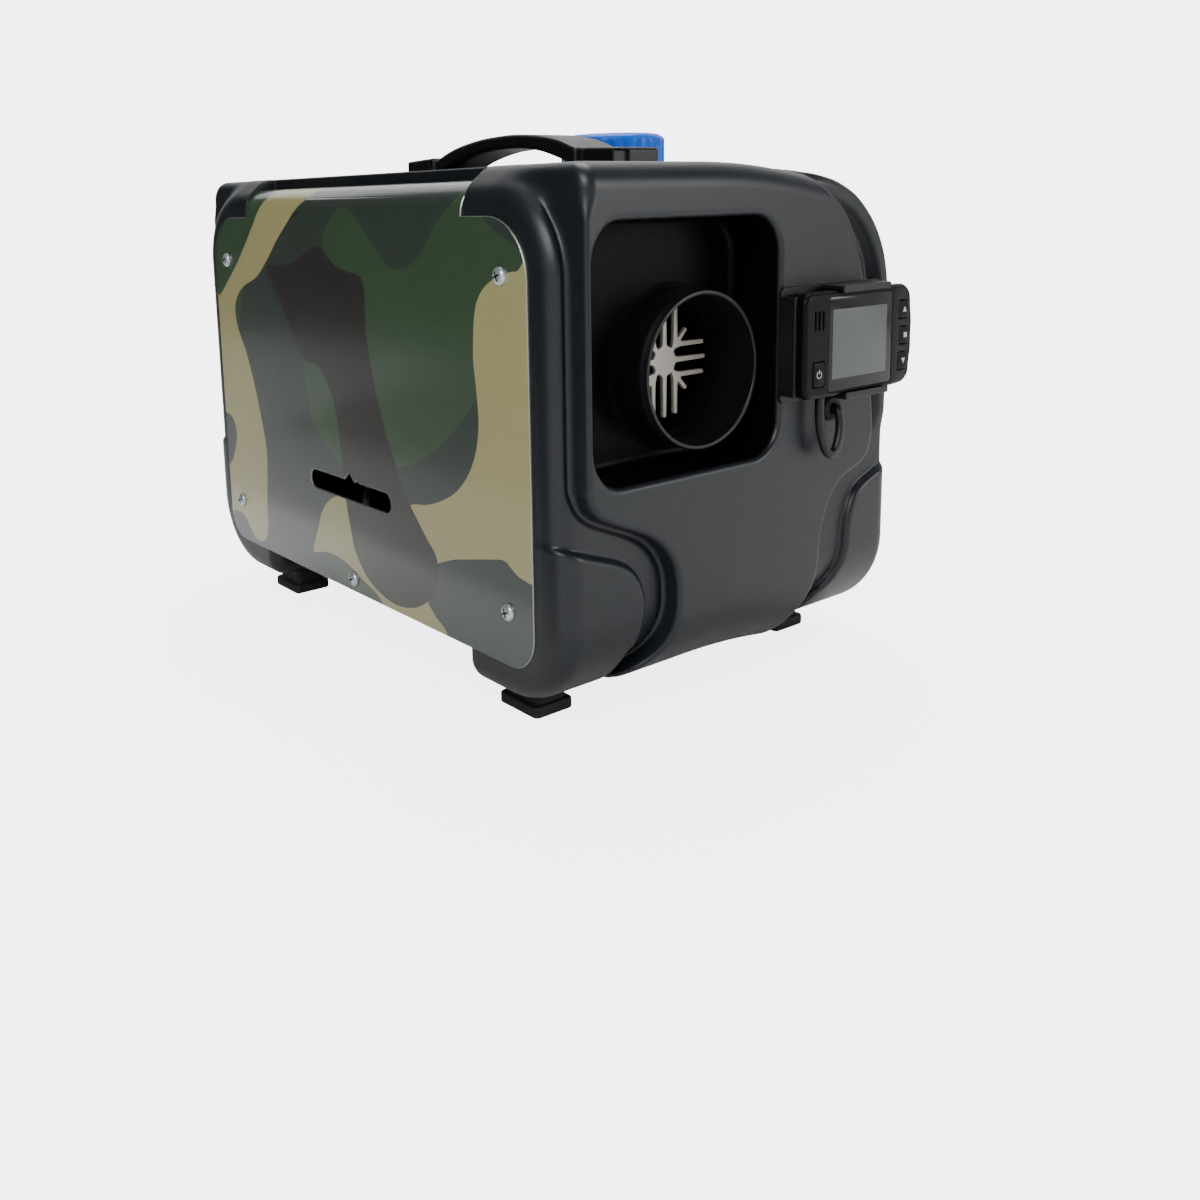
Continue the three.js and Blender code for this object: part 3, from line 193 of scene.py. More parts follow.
# the exchanger's star: its end is bright, its sides behind it are darkened as painted shade
# between the fins
STAR = paint_shade_in_box(material("cast_aluminium_painted_fin_shade", "#c9c4b8", 0.42, metal=0.3, grain=0.3,
                      grain_scale=900.0, wear=0.1), [("X", 0, 147.6, 1.0)], "#141210", 0.1)
STEEL = material("drawn_steel", "#9b9fa1", 0.32, metal=1.0, wear=0.08, grain=0.05,
                 grain_scale=600.0, stretch=(1.0, 12.0, 12.0))
BRASS = material("turned_brass", "#b08d4a", 0.3, metal=1.0, wear=0.06)
# fuel cap: glossy blue polypropylene
BLUE = material("blue_polypropylene", "#0a66e6", 0.26, wear=0.05, specular=0.22)
RUBBER = material("black_rubber", "#121314", 0.7, grain=0.2, grain_scale=1100.0, wear=0.08)
TANK = material("natural_polyethylene", "#d6d2bf", 0.45, grain=0.1, wear=0.05)
MESH = material("woven_steel_mesh", "#a7a79f", 0.4, metal=0.9, grain=0.5, grain_scale=2500.0)
BOARD = material("green_circuit_board", "#1c5c36", 0.4, wear=0.06, mottle="#174d2d")
FAN = material("moulded_fan_plastic", "#26282a", 0.5, grain=0.1, wear=0.05)
LINE = material("clear_nylon_line", "#8fa2a8", 0.3, wear=0.05)


# -------- meshes
def mesh_object(name, points, faces, materials, face_slots=None, sharp=35.0):
    """Makes an object at the origin from millimetre points. faces is a list or an (n, k) array."""
    points = np.asarray(points, dtype=np.float64) * MM
    mesh = bpy.data.meshes.new(name)
    if isinstance(faces, np.ndarray):
        count, corners = faces.shape
        mesh.vertices.add(len(points))
        mesh.vertices.foreach_set("co", points.ravel())
        mesh.loops.add(count * corners)
        mesh.loops.foreach_set("vertex_index", faces.ravel().astype(np.int32))
        mesh.polygons.add(count)
        mesh.polygons.foreach_set("loop_start", np.arange(0, count * corners, corners))
    else:
        mesh.from_pydata([tuple(p) for p in points], [], [list(f) for f in faces])
    for m in materials:
        mesh.materials.append(m)
    mesh.update(calc_edges=True)
    if face_slots is not None:
        mesh.polygons.foreach_set("material_index", np.asarray(face_slots, dtype=np.int32))
    mesh.polygons.foreach_set("use_smooth", np.ones(len(mesh.polygons), dtype=bool))
    if sharp:
        mesh.set_sharp_from_angle(angle=math.radians(sharp))
    mesh.update()
    made = bpy.data.objects.new(name, mesh)
    bpy.context.scene.collection.objects.link(made)
    return made


def joined(name, parts, sharp=35.0):
    """One object from several (points, faces, material) parts."""
    points, faces, slots, materials = [], [], [], []
    for part_points, part_faces, part_material in parts:
        if part_material not in materials:
            materials.append(part_material)
        base = len(points)
        points.extend([tuple(p) for p in part_points])
        faces.extend([[i + base for i in f] for f in part_faces])
        slots.extend([materials.index(part_material)] * len(part_faces))
    return mesh_object(name, points, faces, materials, slots, sharp=sharp)


def put(obj, body, *nodes, slot=None):
    """The piece moves with a body and stands for its CAD nodes; the slot argument is not used."""
    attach(obj, body)
    if nodes:
        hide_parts(*nodes)
    return obj


def grid_faces(rows, columns):
    """Quads between successive rings of points."""
    faces = []
    for r in range(rows - 1):
        for c in range(columns):
            d = (c + 1) % columns
            faces.append([r * columns + c, r * columns + d, (r + 1) * columns + d,
                          (r + 1) * columns + c])
    return faces


def lathe(axis, centre, profile, steps, shape=None):
    """Turns (radius, height) points round an axis. shape may change a point's radius."""
    points = []
    for radius, height in profile:
        for i in range(steps):
            angle = 2 * math.pi * i / steps
            r = shape(angle, radius, height) if shape else radius
            a, b = r * math.cos(angle), r * math.sin(angle)
            if axis == "z":
                points.append((centre[0] + a, centre[1] + b, height))
            elif axis == "x":
                points.append((height, centre[0] + a, centre[1] + b))
            else:
                points.append((centre[0] + b, height, centre[1] + a))
    return points, grid_faces(len(profile), steps)


def tube(path, radius, sides=20):
    """A round tube along a list of points, closed at both ends."""
    path = [Vector(p) for p in path]
    points = []
    turn = None
    for i, p in enumerate(path):
        ahead = path[min(i + 1, len(path) - 1)] - path[max(i - 1, 0)]
        ahead.normalize()
        if turn is None:
            turn = ahead.orthogonal().normalized()
        turn = (turn - ahead * turn.dot(ahead)).normalized()
        other = ahead.cross(turn)
        for k in range(sides):
            angle = 2 * math.pi * k / sides
            points.append(p + (turn * math.cos(angle) + other * math.sin(angle)) * radius)
    faces = grid_faces(len(path), sides)
    faces.append(list(range(sides))[::-1])
    faces.append([len(points) - sides + k for k in range(sides)])
    return points, faces


def spline(points, step):
    """Points along a smooth curve through the given ones, about one step apart."""
    p = np.asarray(points, dtype=float)
    p = np.vstack([2 * p[0] - p[1], p, 2 * p[-1] - p[-2]])
    out = []
    for i in range(1, len(p) - 2):
        a, b, c, d = p[i - 1], p[i], p[i + 1], p[i + 2]
        count = max(2, int(np.linalg.norm(c - b) / step))
        t = np.linspace(0, 1, count, endpoint=False)[:, None]
        out.append(0.5 * ((2 * b) + (c - a) * t + (2 * a - 5 * b + 4 * c - d) * t ** 2
                          + (3 * b - a - 3 * c + d) * t ** 3))
    out.append(p[-2][None])
    return np.vstack(out)


# -------- moulded forms
# A moulding is a distance field: negative inside, positive outside, in millimetres.
def round_max(a, b, r):
    """What two forms share, with the edge between them rounded."""
    return np.minimum(np.maximum(a, b), -r) + np.hypot(np.maximum(a + r, 0), np.maximum(b + r, 0))


def round_min(a, b, r):
    """Two forms together, with a fillet between them."""
    h = np.maximum(r - np.abs(a - b), 0) / r
    return np.minimum(a, b) - h * h * r * 0.25


def rect(a, b, ca, cb, ha, hb, r):
    """A rounded rectangle in two axes."""
    qa = np.abs(a - ca) - ha + r
    qb = np.abs(b - cb) - hb + r
    return (np.minimum(np.maximum(qa, qb), 0)
            + np.hypot(np.maximum(qa, 0), np.maximum(qb, 0)) - r)


def step_up(t):
    t = np.clip(t, 0, 1)
    return t * t * (3 - 2 * t)


def inside(polygon, a, b):
    hit = np.zeros(np.shape(a), dtype=bool)
    for (a0, b0), (a1, b1) in zip(polygon, np.roll(polygon, -1, axis=0)):
        if b0 != b1:
            hit ^= ((b0 > b) != (b1 > b)) & (a < a0 + (b - b0) * (a1 - a0) / (b1 - b0))
    return hit


class Outline:
    """The distance to a closed outline, kept on a fine grid and read between its points."""

    def __init__(self, points, low=(-150.0, -10.0), high=(150.0, 290.0), pitch=0.8):
        p = np.asarray(points, dtype=float)
        self.low, self.pitch = np.array(low), pitch
        a = np.arange(low[0], high[0] + pitch, pitch)
        b = np.arange(low[1], high[1] + pitch, pitch)
        grid_a, grid_b = np.meshgrid(a, b, indexing="ij")
        best = np.full(grid_a.shape, 1e9)
        for (a0, b0), (a1, b1) in zip(p, np.roll(p, -1, axis=0)):
            da, db = a1 - a0, b1 - b0
            length = da * da + db * db
            if length < 1e-12:
                continue
            t = np.clip(((grid_a - a0) * da + (grid_b - b0) * db) / length, 0, 1)
            best = np.minimum(best, (grid_a - a0 - t * da) ** 2 + (grid_b - b0 - t * db) ** 2)
        field = np.where(inside(p, grid_a, grid_b), -1, 1) * np.sqrt(best)
        for _ in range(2):
            wide = np.pad(field, 1, mode="edge")
            field = (wide[:-2, 1:-1] + wide[2:, 1:-1] + wide[1:-1, :-2] + wide[1:-1, 2:]
                     + 4 * field) / 8
        self.field = field

    def __call__(self, a, b):
        u = (a - self.low[0]) / self.pitch
        v = (b - self.low[1]) / self.pitch
        u, v = np.broadcast_arrays(u, v)
        i = np.clip(u.astype(int), 0, self.field.shape[0] - 2)
        j = np.clip(v.astype(int), 0, self.field.shape[1] - 2)
        s, t = u - i, v - j
        f = self.field
        return ((f[i, j] * (1 - s) + f[i + 1, j] * s) * (1 - t)
                + (f[i, j + 1] * (1 - s) + f[i + 1, j + 1] * s) * t)


def slope(form, p, reach):
    """The direction in which the distance grows, at each point."""
    out = np.empty_like(p)
    for k in range(3):
        ahead, behind = p.copy(), p.copy()
        ahead[:, k] += reach
        behind[:, k] -= reach
        out[:, k] = (form(*ahead.T) - form(*behind.T)) / (2 * reach)
    return out


def settle(form, p, reach, rounds):
    """Moves points onto the form's surface."""
    for _ in range(rounds):
        g = slope(form, p, reach)
        size = np.maximum((g * g).sum(axis=1), 0.2)
        move = np.clip(form(*p.T) / size, -reach * 2, reach * 2)
        p = p - g * move[:, None]
    return p


def skin(form, low, high, pitch):
    """Points and quads of the form's surface, from a grid of the given pitch."""
    axes = [np.arange(a, b + pitch, pitch) for a, b in zip(low, high)]
    value = np.broadcast_to(
        form(axes[0][:, None, None], axes[1][None, :, None], axes[2][None, None, :]),
        [len(a) for a in axes]).astype(np.float32)
    inside = value < 0
    count = sum(inside[i:len(axes[0]) - 1 + i, j:len(axes[1]) - 1 + j, k:len(axes[2]) - 1 + k]
                .astype(np.int8) for i in (0, 1) for j in (0, 1) for k in (0, 1))
    active = (count > 0) & (count < 8)
    cells = np.argwhere(active)
    number = np.full(active.shape, -1, dtype=np.int64)
    number[active] = np.arange(len(cells))
    total = np.zeros((len(cells), 3))
    crossings = np.zeros(len(cells))
    unit = np.eye(3, dtype=int)
    for axis, b, c in ((0, 1, 2), (1, 0, 2), (2, 0, 1)):
        for i, j in ((0, 0), (0, 1), (1, 0), (1, 1)):
            start = cells + i * unit[b] + j * unit[c]
            v0, v1 = value[tuple(start.T)], value[tuple((start + unit[axis]).T)]
            cut = (v0 < 0) != (v1 < 0)
            t = np.where(cut, v0 / np.where(cut, v0 - v1, 1), 0)
            at = start.astype(float)
            at[:, axis] += t
            total += at * cut[:, None]
            crossings += cut
    points = total / crossings[:, None] * pitch + np.array([a[0] for a in axes])
    quads = []
    for axis in range(3):
        b, c = (axis + 1) % 3, (axis + 2) % 3
        low_side, high_side = [slice(1, -1)] * 3, [slice(1, -1)] * 3
        low_side[axis], high_side[axis] = slice(0, -1), slice(1, None)
        first, second = inside[tuple(low_side)], inside[tuple(high_side)]
        found = np.argwhere(first != second)
        outward = first[tuple(found.T)]
        quad = np.stack([number[tuple((found + i * unit[b] + j * unit[c]).T)]
                         for i, j in ((0, 0), (1, 0), (1, 1), (0, 1))], axis=1)
        quad[~outward] = quad[~outward][:, ::-1]
        quads.append(quad)
    return points, np.vstack(quads)


def moulding(name, form, low, high, pitch, most, finish):
    """An object with the form's surface, cut down to at most that many triangles."""
    points, quads = skin(form, low, high, pitch)
    points = settle(form, points, pitch * 0.35, 2)
    rough = mesh_object(name, points, quads, [finish], sharp=None)
    ratio = most / (2 * len(quads))
    if ratio < 1:
        thin = rough.modifiers.new("thin", "DECIMATE")
        thin.ratio = ratio
        thin.use_collapse_triangulate = True
        seen = rough.evaluated_get(bpy.context.evaluated_depsgraph_get())
        mesh = bpy.data.meshes.new_from_object(seen)
        rough.modifiers.remove(thin)
        old, rough.data = rough.data, mesh
        bpy.data.meshes.remove(old)
        mesh.name = name
    mesh = rough.data
    p = np.empty(len(mesh.vertices) * 3)
    mesh.vertices.foreach_get("co", p)
    p = settle(form, p.reshape(-1, 3) / MM, pitch * 0.3, 3)
    mesh.vertices.foreach_set("co", (p * MM).ravel())
    n = slope(form, p, 0.3)
    n /= np.maximum(np.linalg.norm(n, axis=1), 1e-6)[:, None]
    mesh.polygons.foreach_set("use_smooth", np.ones(len(mesh.polygons), dtype=bool))
    mesh.normals_split_custom_set_from_vertices([tuple(v) for v in n])
    mesh.update()
    return rough


# -------- driving dimensions
END = 185.0            # face of the raised middle band
FRAME_END = 175.5      # face of the end frames behind it
BUMPER_END = 179.5
FLOOR = 20.0
NEAR_FACE = -116.4     # the painted panel lies on this face
FAR_FACE = 117.5
BUMPER_FAR = 120.1
BAND_NEAR = -106.0
RECESS_Y = (-102.8, 17.6)
RECESS_Z = (121.0, 237.0)
RECESS_BACK = 153.0
AXIS_Y, AXIS_Z = -25.5, 166.0   # warm air path
PANEL_HALF = 159.3
PANEL_Z = (33.5, 240.0)
PANEL_FACE = -117.5
FLAP_HALF = 112.0
SLOT_X, SLOT_Z, SLOT_R = (-46, 41), 91.5, 5.4   # the slot's ends, middle and end radius
BEND = 16.0
BEND_Y = PANEL_FACE + BEND
FILLER = (25.0, 56.0)
CAP_RADIUS = 30.5
WELL_RADIUS = 33.5
WELL_FLOOR = 253.0


def arc(a, b, radius, start, end, steps):
    angles = np.radians(np.linspace(start, end, steps))
    return np.stack([a + radius * np.cos(angles), b + radius * np.sin(angles)], axis=1)


# -------- housing
FAR_PROFILE = Outline(np.vstack([
    [(-150, 20)], arc(FAR_FACE - 16, FLOOR + 16, 16, 270, 360, 12),
    spline([(FAR_FACE, 186), (116.5, 201), (112.4, 216.5), (103.4, 231.8), (89.4, 244.6),
            (75.0, 251.6), (62.0, 255.0), (40, 258.2), (20, 259.5), (-20, 260.3)], 2.0),
    [(-60, 270), (-150, 288)]]))
NEAR_WAIST = spline([(BAND_NEAR, 300), (BAND_NEAR, 200), (BAND_NEAR, 130), (-105.4, 120),
                     (-102.5, 112.5), (-96.5, 107.5), (-88, 103.5), (-75, 98), (-65, 92.5),
                     (-57, 84.5), (-52.2, 75), (-51, 64), (-52, 53), (-56, 42), (-62, 34),
                     (-70, 27), (-76, 18), (-80, -5)], 1.5)
FAR_WAIST = spline([(28, -5), (32, 18), (36, 29), (40, 36), (46, 44), (51, 54), (53, 69), (57, 84),
                    (62, 93), (70, 100), (84, 105), (91, 110), (94, 118), (94.5, 127),
                    (92, 150), (87, 180), (83.2, 200), (79.6, 215), (71.8, 231.5), (64.5, 240),
                    (56.5, 247), (50, 254), (46, 264), (44, 300)], 1.5)
BAND_PROFILE = Outline(np.vstack([NEAR_WAIST, FAR_WAIST]), high=(150.0, 295.0))
BUMPERS = [Outline(np.vstack([
    spline([(-74, 0), (-73.5, 34), (-69.5, 41), (-67, 51), (-66, 64), (-68, 71), (-71.5, 77),
            (-77, 82), (-85, 86), (-99, 91), (-111, 95.5), (-122, 100), (-140, 104)], 1.5),
    [(-145, 104), (-145, -5), (-74, -5)]])),
    Outline(np.vstack([
        spline([(60, 0), (63.5, 31), (71, 39), (77, 48), (80.5, 60), (82, 73), (86, 84),
                (92.5, 91), (105, 96.5), (120, 101), (140, 104)], 1.5),
        [(145, 104), (145, -5), (60, -5)]]))]


def crown(y):
    """How far the top of the band falls away towards the far shoulder."""
    t = np.maximum(y + 28, 0)
    return 0.00125 * t * t


def housing_form(x, y, z):
    ax = np.abs(x)
    high = z > 138.5
    corner = 45 - 35 * step_up((y + 45) / 60)
    lift = np.where(high, 2 * step_up(y / 30), 0)
    # at the far edge the end swells into a bead, with a dark groove inside it
    within = -FAR_PROFILE(y, z)
    swell = 1.8 * (1 - step_up((within - 7) / 4)) - 4.0 * np.exp(-((within - 14.5) / 3.6) ** 2)
    swell = swell * step_up((y - 42) / 18) * step_up((z - 116) / 16)
    ends = rect(ax - swell, z - lift, 0, 138.5, FRAME_END, 118.5, np.where(high, corner, 40.0))
    near = round_max(ends, NEAR_FACE - y, 12.0)
    slant = ((y - NEAR_FACE) * -16 + (z - 36) * -25.2) / 29.85
    near = round_max(near, slant, 7.0)
    far = round_max(-within, ax - swell - FRAME_END, 4.5 + 31.5 * step_up((55 - z) / 30))
    body = np.maximum(near, far)

    # the raised band, with a bead up its near edge and a groove outside it
    side = BAND_PROFILE(y, z)
    wide = rect(ax, z + crown(y), 0, 141.0, END, 121.0, np.where(high, 12.0, 35.0))
    top_corner = step_up((z - 236) / 14) * step_up((-60 - y) / 20)
    band = round_max(side, wide, 2.6 + 4.4 * top_corner)
    groove = 1.9 * np.exp(-((side - 1.9) / 1.8) ** 2)
    groove = groove * (1 - 0.5 * step_up((118 - z) / 12) * step_up(-y / 40))
    groove = groove * (1 - step_up((z - 243) / 10) * step_up((y + 10) / 30))
    body = round_min(body + groove * (1 - top_corner), band, 1.8 + 5.2 * top_corner)

    # corner bumpers
    face = np.where(y < 0, NEAR_FACE - y, y - BUMPER_FAR)
    bumper = round_max(rect(ax, z, 0, 165, BUMPER_END, 150, 45.0), face, 12.0)
    bumper = round_max(bumper, 103.5 - ax, 8.0)
    crest = np.where(y < 0, BUMPERS[0](y, z), BUMPERS[1](y, z))
    body = round_min(body, round_max(bumper, crest, 3.4), 1.6)

    # the seat of the panel's bent top flap
    qa, qb = BEND_Y - y, z - PANEL_Z[1]
    seat = np.where((qa > 0) & (qb > 0), np.hypot(qa, qb) - 14.8,
                    np.maximum(qb - 14.8, qa - 14.9))
    flap = np.maximum(ax - FLAP_HALF - 0.7, np.maximum(y + 95.8, 225 - z))
    body = np.maximum(body, -np.maximum(flap, -seat))

    # the air recess in each end, and the hole for the collar in its back
    middle = ((RECESS_Y[0] + RECESS_Y[1]) / 2, (RECESS_Z[0] + RECESS_Z[1]) / 2)
    half = ((RECESS_Y[1] - RECESS_Y[0]) / 2, (RECESS_Z[1] - RECESS_Z[0]) / 2)
    mouth = rect(y, z, *middle, *half, 18.0)
    lip = 1.3 + 1.5 * step_up((y + 101) / 8)
    body = round_max(body, -round_max(mouth, RECESS_BACK - ax, 4.0), lip)
    bore = np.hypot(y - AXIS_Y, z - AXIS_Z)
    body = np.maximum(body, -np.maximum(bore - 37.8, 140 - ax))

    # what is hollow behind the panel, the collar and the grille
    inner = np.maximum(np.maximum(ax - 149, np.maximum(-112 - y, y - 34)),
                       np.maximum(40 - z, z - 231))
    bay = np.maximum(rect(x, z, 0, 141.5, 129, 89.5, 14.0), y + 110)
    body = np.maximum(body, -np.minimum(inner, bay))

    # filler well and the two pipes in the floor
    well = np.hypot(x - FILLER[0], y - FILLER[1]) - WELL_RADIUS
    body = round_max(body, -np.maximum(well, WELL_FLOOR - z), 1.2)
    for px, radius in ((-10, 13.3), (-53, 11.3)):
        pipe = np.hypot(x - px, y - AXIS_Y) - radius
        body = np.maximum(body, -np.maximum(pipe, z - 60))
    grommet = np.hypot(y - 57, z - 139) - 4.3
    return np.maximum(body, -np.maximum(grommet, 172 - x))


put(moulding("housing", housing_form, (-188, -119, 12), (188, 122.5, 265), 1.35, 190000, HOUSING),
    "body", "housing_shell", slot="housing")


# -------- side panel
# The panel is drawn unrolled: X along it, and S up it and on over the bend.
PATCHES = [  # in this order over the green, each hiding what it covers; X and S in turn
    (DEEP, -33.5, 274, -33.5, 260.5, -36.8, 253.4, -45.4, 246.3, -56, 238.4, -72, 227.1, -86.4,
     215.2, -101.2, 205, -87, 205, -54.9, 208, -34.2, 216, -20.6, 222, -16.2, 231.3, -6.1, 240.1,
     0.4, 244.3, 7.2, 244.8, 12.9, 243.5, 22.9, 235.8, 32.1, 227.5, 45.7, 216.9, 53.3, 214.3, 61,
     214.3, 68.7, 216.7, 77.9, 222.5, 85.6, 230.5, 94.4, 238.2, 102.1, 244.3, 108.2, 250, 109.8,
     256, 113, 274),
    (DEEP, -170, 25, -170, 60, -120, 198, -101.2, 205, -87, 210.9, -74, 194, -59, 174, -46, 158,
     -46.6, 149.1, -44, 136.9, -41.3, 125.6, -30.5, 116.5, -19.6, 110.5, -8.7, 107.5, -6.7, 85,
     -30, 44, 28, 25),
    (DEEP, 47, 111, 61.4, 116.3, 80.1, 124.4, 95, 134.1, 106.7, 143.8, 113.7, 150.3, 122, 158,
     126, 149, 123, 134, 117, 122, 107.8, 112, 99.2, 105, 87, 99, 75, 94, 59.9, 90, 48, 104),
    (DEEP, 125, 246, 131.5, 237.5, 135.7, 234.6, 142.8, 231.1, 150.9, 228, 156.6, 224.5, 168, 219,
     168, 246),
    (TAN, -34, 274, -33.5, 260.5, -36.8, 253.4, -45.4, 246.3, -56, 238.4, -72, 227.1, -86.4,
     215.2, -101.2, 205, -120.7, 198.2, -131.4, 190.5, -134.6, 182, -131.8, 171.7, -122, 156.9,
     -113.2, 137, -107, 118.7, -102.6, 101.8, -102.9, 85.9, -105.9, 64.1, -106.8, 48.9, -109.7,
     41.2, -116.6, 37.2, -124.9, 37.4, -130.5, 40.6, -137, 47, -144, 50.1, -154.1, 50.6, -170, 50,
     -170, 182, -154.7, 191.9, -141.9, 201.4, -125.3, 214.3, -102.5, 235.5, -92, 248, -87, 260,
     -85, 274),
    (DEEP, -170, 118, -159.3, 115.4, -149.4, 113.4, -145.3, 107.4, -144.8, 99.8, -149.2, 90.3,
     -155.5, 82.7, -170, 76),
    (TAN, 170, 217, 152.8, 216.4, 145.7, 215.4, 135.9, 212.5, 128.3, 208.1, 122.9, 201.9, 120.2,
     193.4, 119.2, 184.2, 118.9, 174.2, 120.3, 162.8, 121.6, 147, 119.6, 134.6, 115.1, 124.3,
     107.8, 115, 99.2, 108.1, 87.4, 102.2, 75.4, 98.2, 59.9, 95, 50, 86, 70, 60, 83.9, 68, 94.3,
     73.9, 108.6, 77.7, 124.9, 81.5, 137.9, 84.1, 142.8, 82.2, 148.9, 79, 157.3, 77.6, 170, 75),
    (TAN, 0, 90, -6.3, 87, -10.8, 86.7, -20.5, 84, -28.7, 79, -35.4, 71.8, -40.5, 61.8, -45.5,
     52.6, -47.2, 46.2, -31.9, 49.5, -18.3, 49.8, -7.1, 48, 5.3, 43.7, 15.7, 40.6, 25.8, 36.6, 42,
     26, 98, 26, 89.2, 35.8, 79.2, 41.7, 72, 50, 40, 62),
    (DEEP, 78, 66, 94.3, 73.9, 108.6, 77.7, 124.9, 81.5, 137.9, 84.1, 142.8, 82.2, 148.9, 79,
     157.3, 77.6, 170, 75, 170, 25, 97, 25, 89.2, 35.8, 79.2, 41.7, 72, 50),
    (GREEN, -45.6, 157.9, -46.6, 149.1, -44, 136.9, -41.3, 125.6, -30.5, 116.5, -19.6, 110.5,
     -8.7, 105, -4, 117.7, -6, 128.7, -10, 140.4, -19.5, 152, -33.6, 161, -43.4, 161),
    (BROWN, -87, 210.9, -69.6, 212.6, -54.9, 214.4, -46.6, 217.2, -34.2, 222, -20.6, 224.5, -13.8,
     218.9, -3.4, 213.8, 7, 211.5, 17.2, 210.6, 22, 207.7, 24, 200.9, 23.9, 190.6, 23.8, 180.2,
     26.1, 168.2, 29.2, 156.2, 33.9, 142.7, 38, 132, 42.9, 122.9, 48.5, 112.4, 52.7, 104.3, 59.9,
     95.2, 66.4, 88.6, 74.2, 80.7, 81.3, 74.5, 83.8, 68.2, 83.4, 61.2, 79.2, 53.1, 71.9, 46.4,
     62.3, 41.2, 50.9, 38.1, 39.4, 37.4, 27.8, 39.4, 17.7, 43, 9.3, 48.6, 1.2, 58.1, -1.6, 67.1,
     -4.3, 77, -6.3, 88, -6.7, 99.3, -8.6, 108.5, -9.5, 117.7, -11.2, 128.7, -14.6, 140.4, -19.5,
     147.3, -26.3, 155, -33.6, 159, -46, 160, -59, 174, -74, 194),
]


def closed_spline(points, step):
    run = spline(points[-2:] + points + points[:2], step)
    start = int(np.argmin(np.hypot(*(run - points[0]).T)))
    end = start + 5 + int(np.argmin(np.hypot(*(run[start + 5:] - points[0]).T)))
    return run[start:end]


def panel_place(x, s, depth):
    """A point of the unrolled panel, that deep in the sheet, in the frame's axes."""
    if s <= PANEL_Z[1]:
        return (x, PANEL_FACE + depth, s)
    angle = (s - PANEL_Z[1]) / BEND
    if angle <= math.pi / 2:
        r = BEND - depth
        return (x, BEND_Y - r * math.cos(angle), PANEL_Z[1] + r * math.sin(angle))
    run = s - PANEL_Z[1] - BEND * math.pi / 2
    return (x, BEND_Y + run, PANEL_Z[1] + BEND - depth)


def build_panel():
    top = PANEL_Z[1] + BEND * math.pi / 2 + 5.0
    half, low = PANEL_HALF, PANEL_Z[0]
    lower, upper = 18.0, 28.0
    outline = np.vstack([
        arc(-half + lower, low + lower, lower, 180, 270, 12),
        arc(half - lower, low + lower, lower, 270, 360, 12),
        arc(half - upper, PANEL_Z[1] - upper, upper, 0, 90, 16),
        [(FLAP_HALF, PANEL_Z[1]), (FLAP_HALF, top), (-FLAP_HALF, top), (-FLAP_HALF, PANEL_Z[1])],
        arc(-half + upper, PANEL_Z[1] - upper, upper, 90, 180, 16)])
    slot = np.vstack([
        arc(SLOT_X[0] + SLOT_R, SLOT_Z, SLOT_R, 90, 270, 12),
        arc(SLOT_X[1] - SLOT_R, SLOT_Z, SLOT_R, 270, 450, 12),
        [(9, 96.9), (6.5, 98.2), (5, 96.9), (3.2, 96.9), (-1.5, 101.5), (-7, 96.9)]])
    patches = [(paint, closed_spline(list(zip(run[::2], run[1::2])), 2.0))
               for paint, *run in PATCHES]
    loops = [(outline, True), (slot, True)] + [(patch, True) for _, patch in patches]
    for s in np.arange(PANEL_Z[1], top, 1.6):
        loops.append((np.array([(-FLAP_HALF - 4, s), (FLAP_HALF + 4, s)]), False))
    points, edges = [], []
    for loop, closed in loops:
        base, count = len(points), len(loop)
        points.extend(Vector(p) for p in loop.tolist())
        edges.extend((base + i, base + (i + 1) % count) for i in range(count if closed
                                                                       else count - 1))
    flat, _, triangles, *_ = delaunay_2d_cdt(points, edges, [], 0, 1e-4)
    flat = np.array([tuple(v) for v in flat])
    triangles = np.array(triangles)
    centre = flat[triangles].mean(axis=1)
    kept = inside(outline, *centre.T) & ~inside(slot, *centre.T)
    triangles, centre = triangles[kept], centre[kept]
    paints = [GREEN, TAN, DEEP, BROWN, CUT]
    slots = np.zeros(len(triangles), dtype=int)
    for paint, patch in patches:
        slots[inside(patch, *centre.T)] = paints.index(paint)
    used = np.unique(triangles)
    renumber = np.full(len(flat), -1)
    renumber[used] = np.arange(len(used))
    triangles, flat = renumber[triangles], flat[used]
    area = np.cross(flat[triangles[:, 1]] - flat[triangles[:, 0]],
                    flat[triangles[:, 2]] - flat[triangles[:, 0]])
    triangles[area < 0] = triangles[area < 0][:, ::-1]
    sides = {side: 1 for t in triangles.tolist() for side in zip(t, t[1:] + t[:1])}
    border = [(a, b) for a, b in sides if (b, a) not in sides]
    # the painted face stops short of the sheared edge, which stays bare and slightly rounded
    inward = np.zeros_like(flat)
    for a, b in border:
        run = flat[b] - flat[a]
        turned = np.array([-run[1], run[0]]) / max(np.hypot(*run), 1e-6)
        inward[a] += turned
        inward[b] += turned
    size = np.maximum(np.hypot(*inward.T), 1e-6)
    inset = flat + inward / size[:, None] * 0.32 * (size > 0.1)[:, None]
    rim = [a for a, _ in border]
    place = {a: i for i, a in enumerate(rim)}
    front = [panel_place(x, s, 0.0) for x, s in inset]
    back = [panel_place(x, s, 1.0) for x, s in flat]
    ledge = [panel_place(*flat[a], 0.3) for a in rim]
    count = len(front)
    faces = triangles.tolist() + [[c + count, b + count, a + count] for a, b, c in
                                  triangles.tolist()]
    for a, b in border:
        faces.append([b, a, place[a] + 2 * count, place[b] + 2 * count])
    for a, b in border:
        faces.append([place[b] + 2 * count, place[a] + 2 * count, a + count, b + count])
    kinds = slots.tolist() + [4] * (len(triangles) + 2 * len(border))
    return mesh_object("camouflage_panel", front + back + ledge, faces, paints, kinds, sharp=40.0)


put(build_panel(), "body", "side_panel", slot="panel_paint")


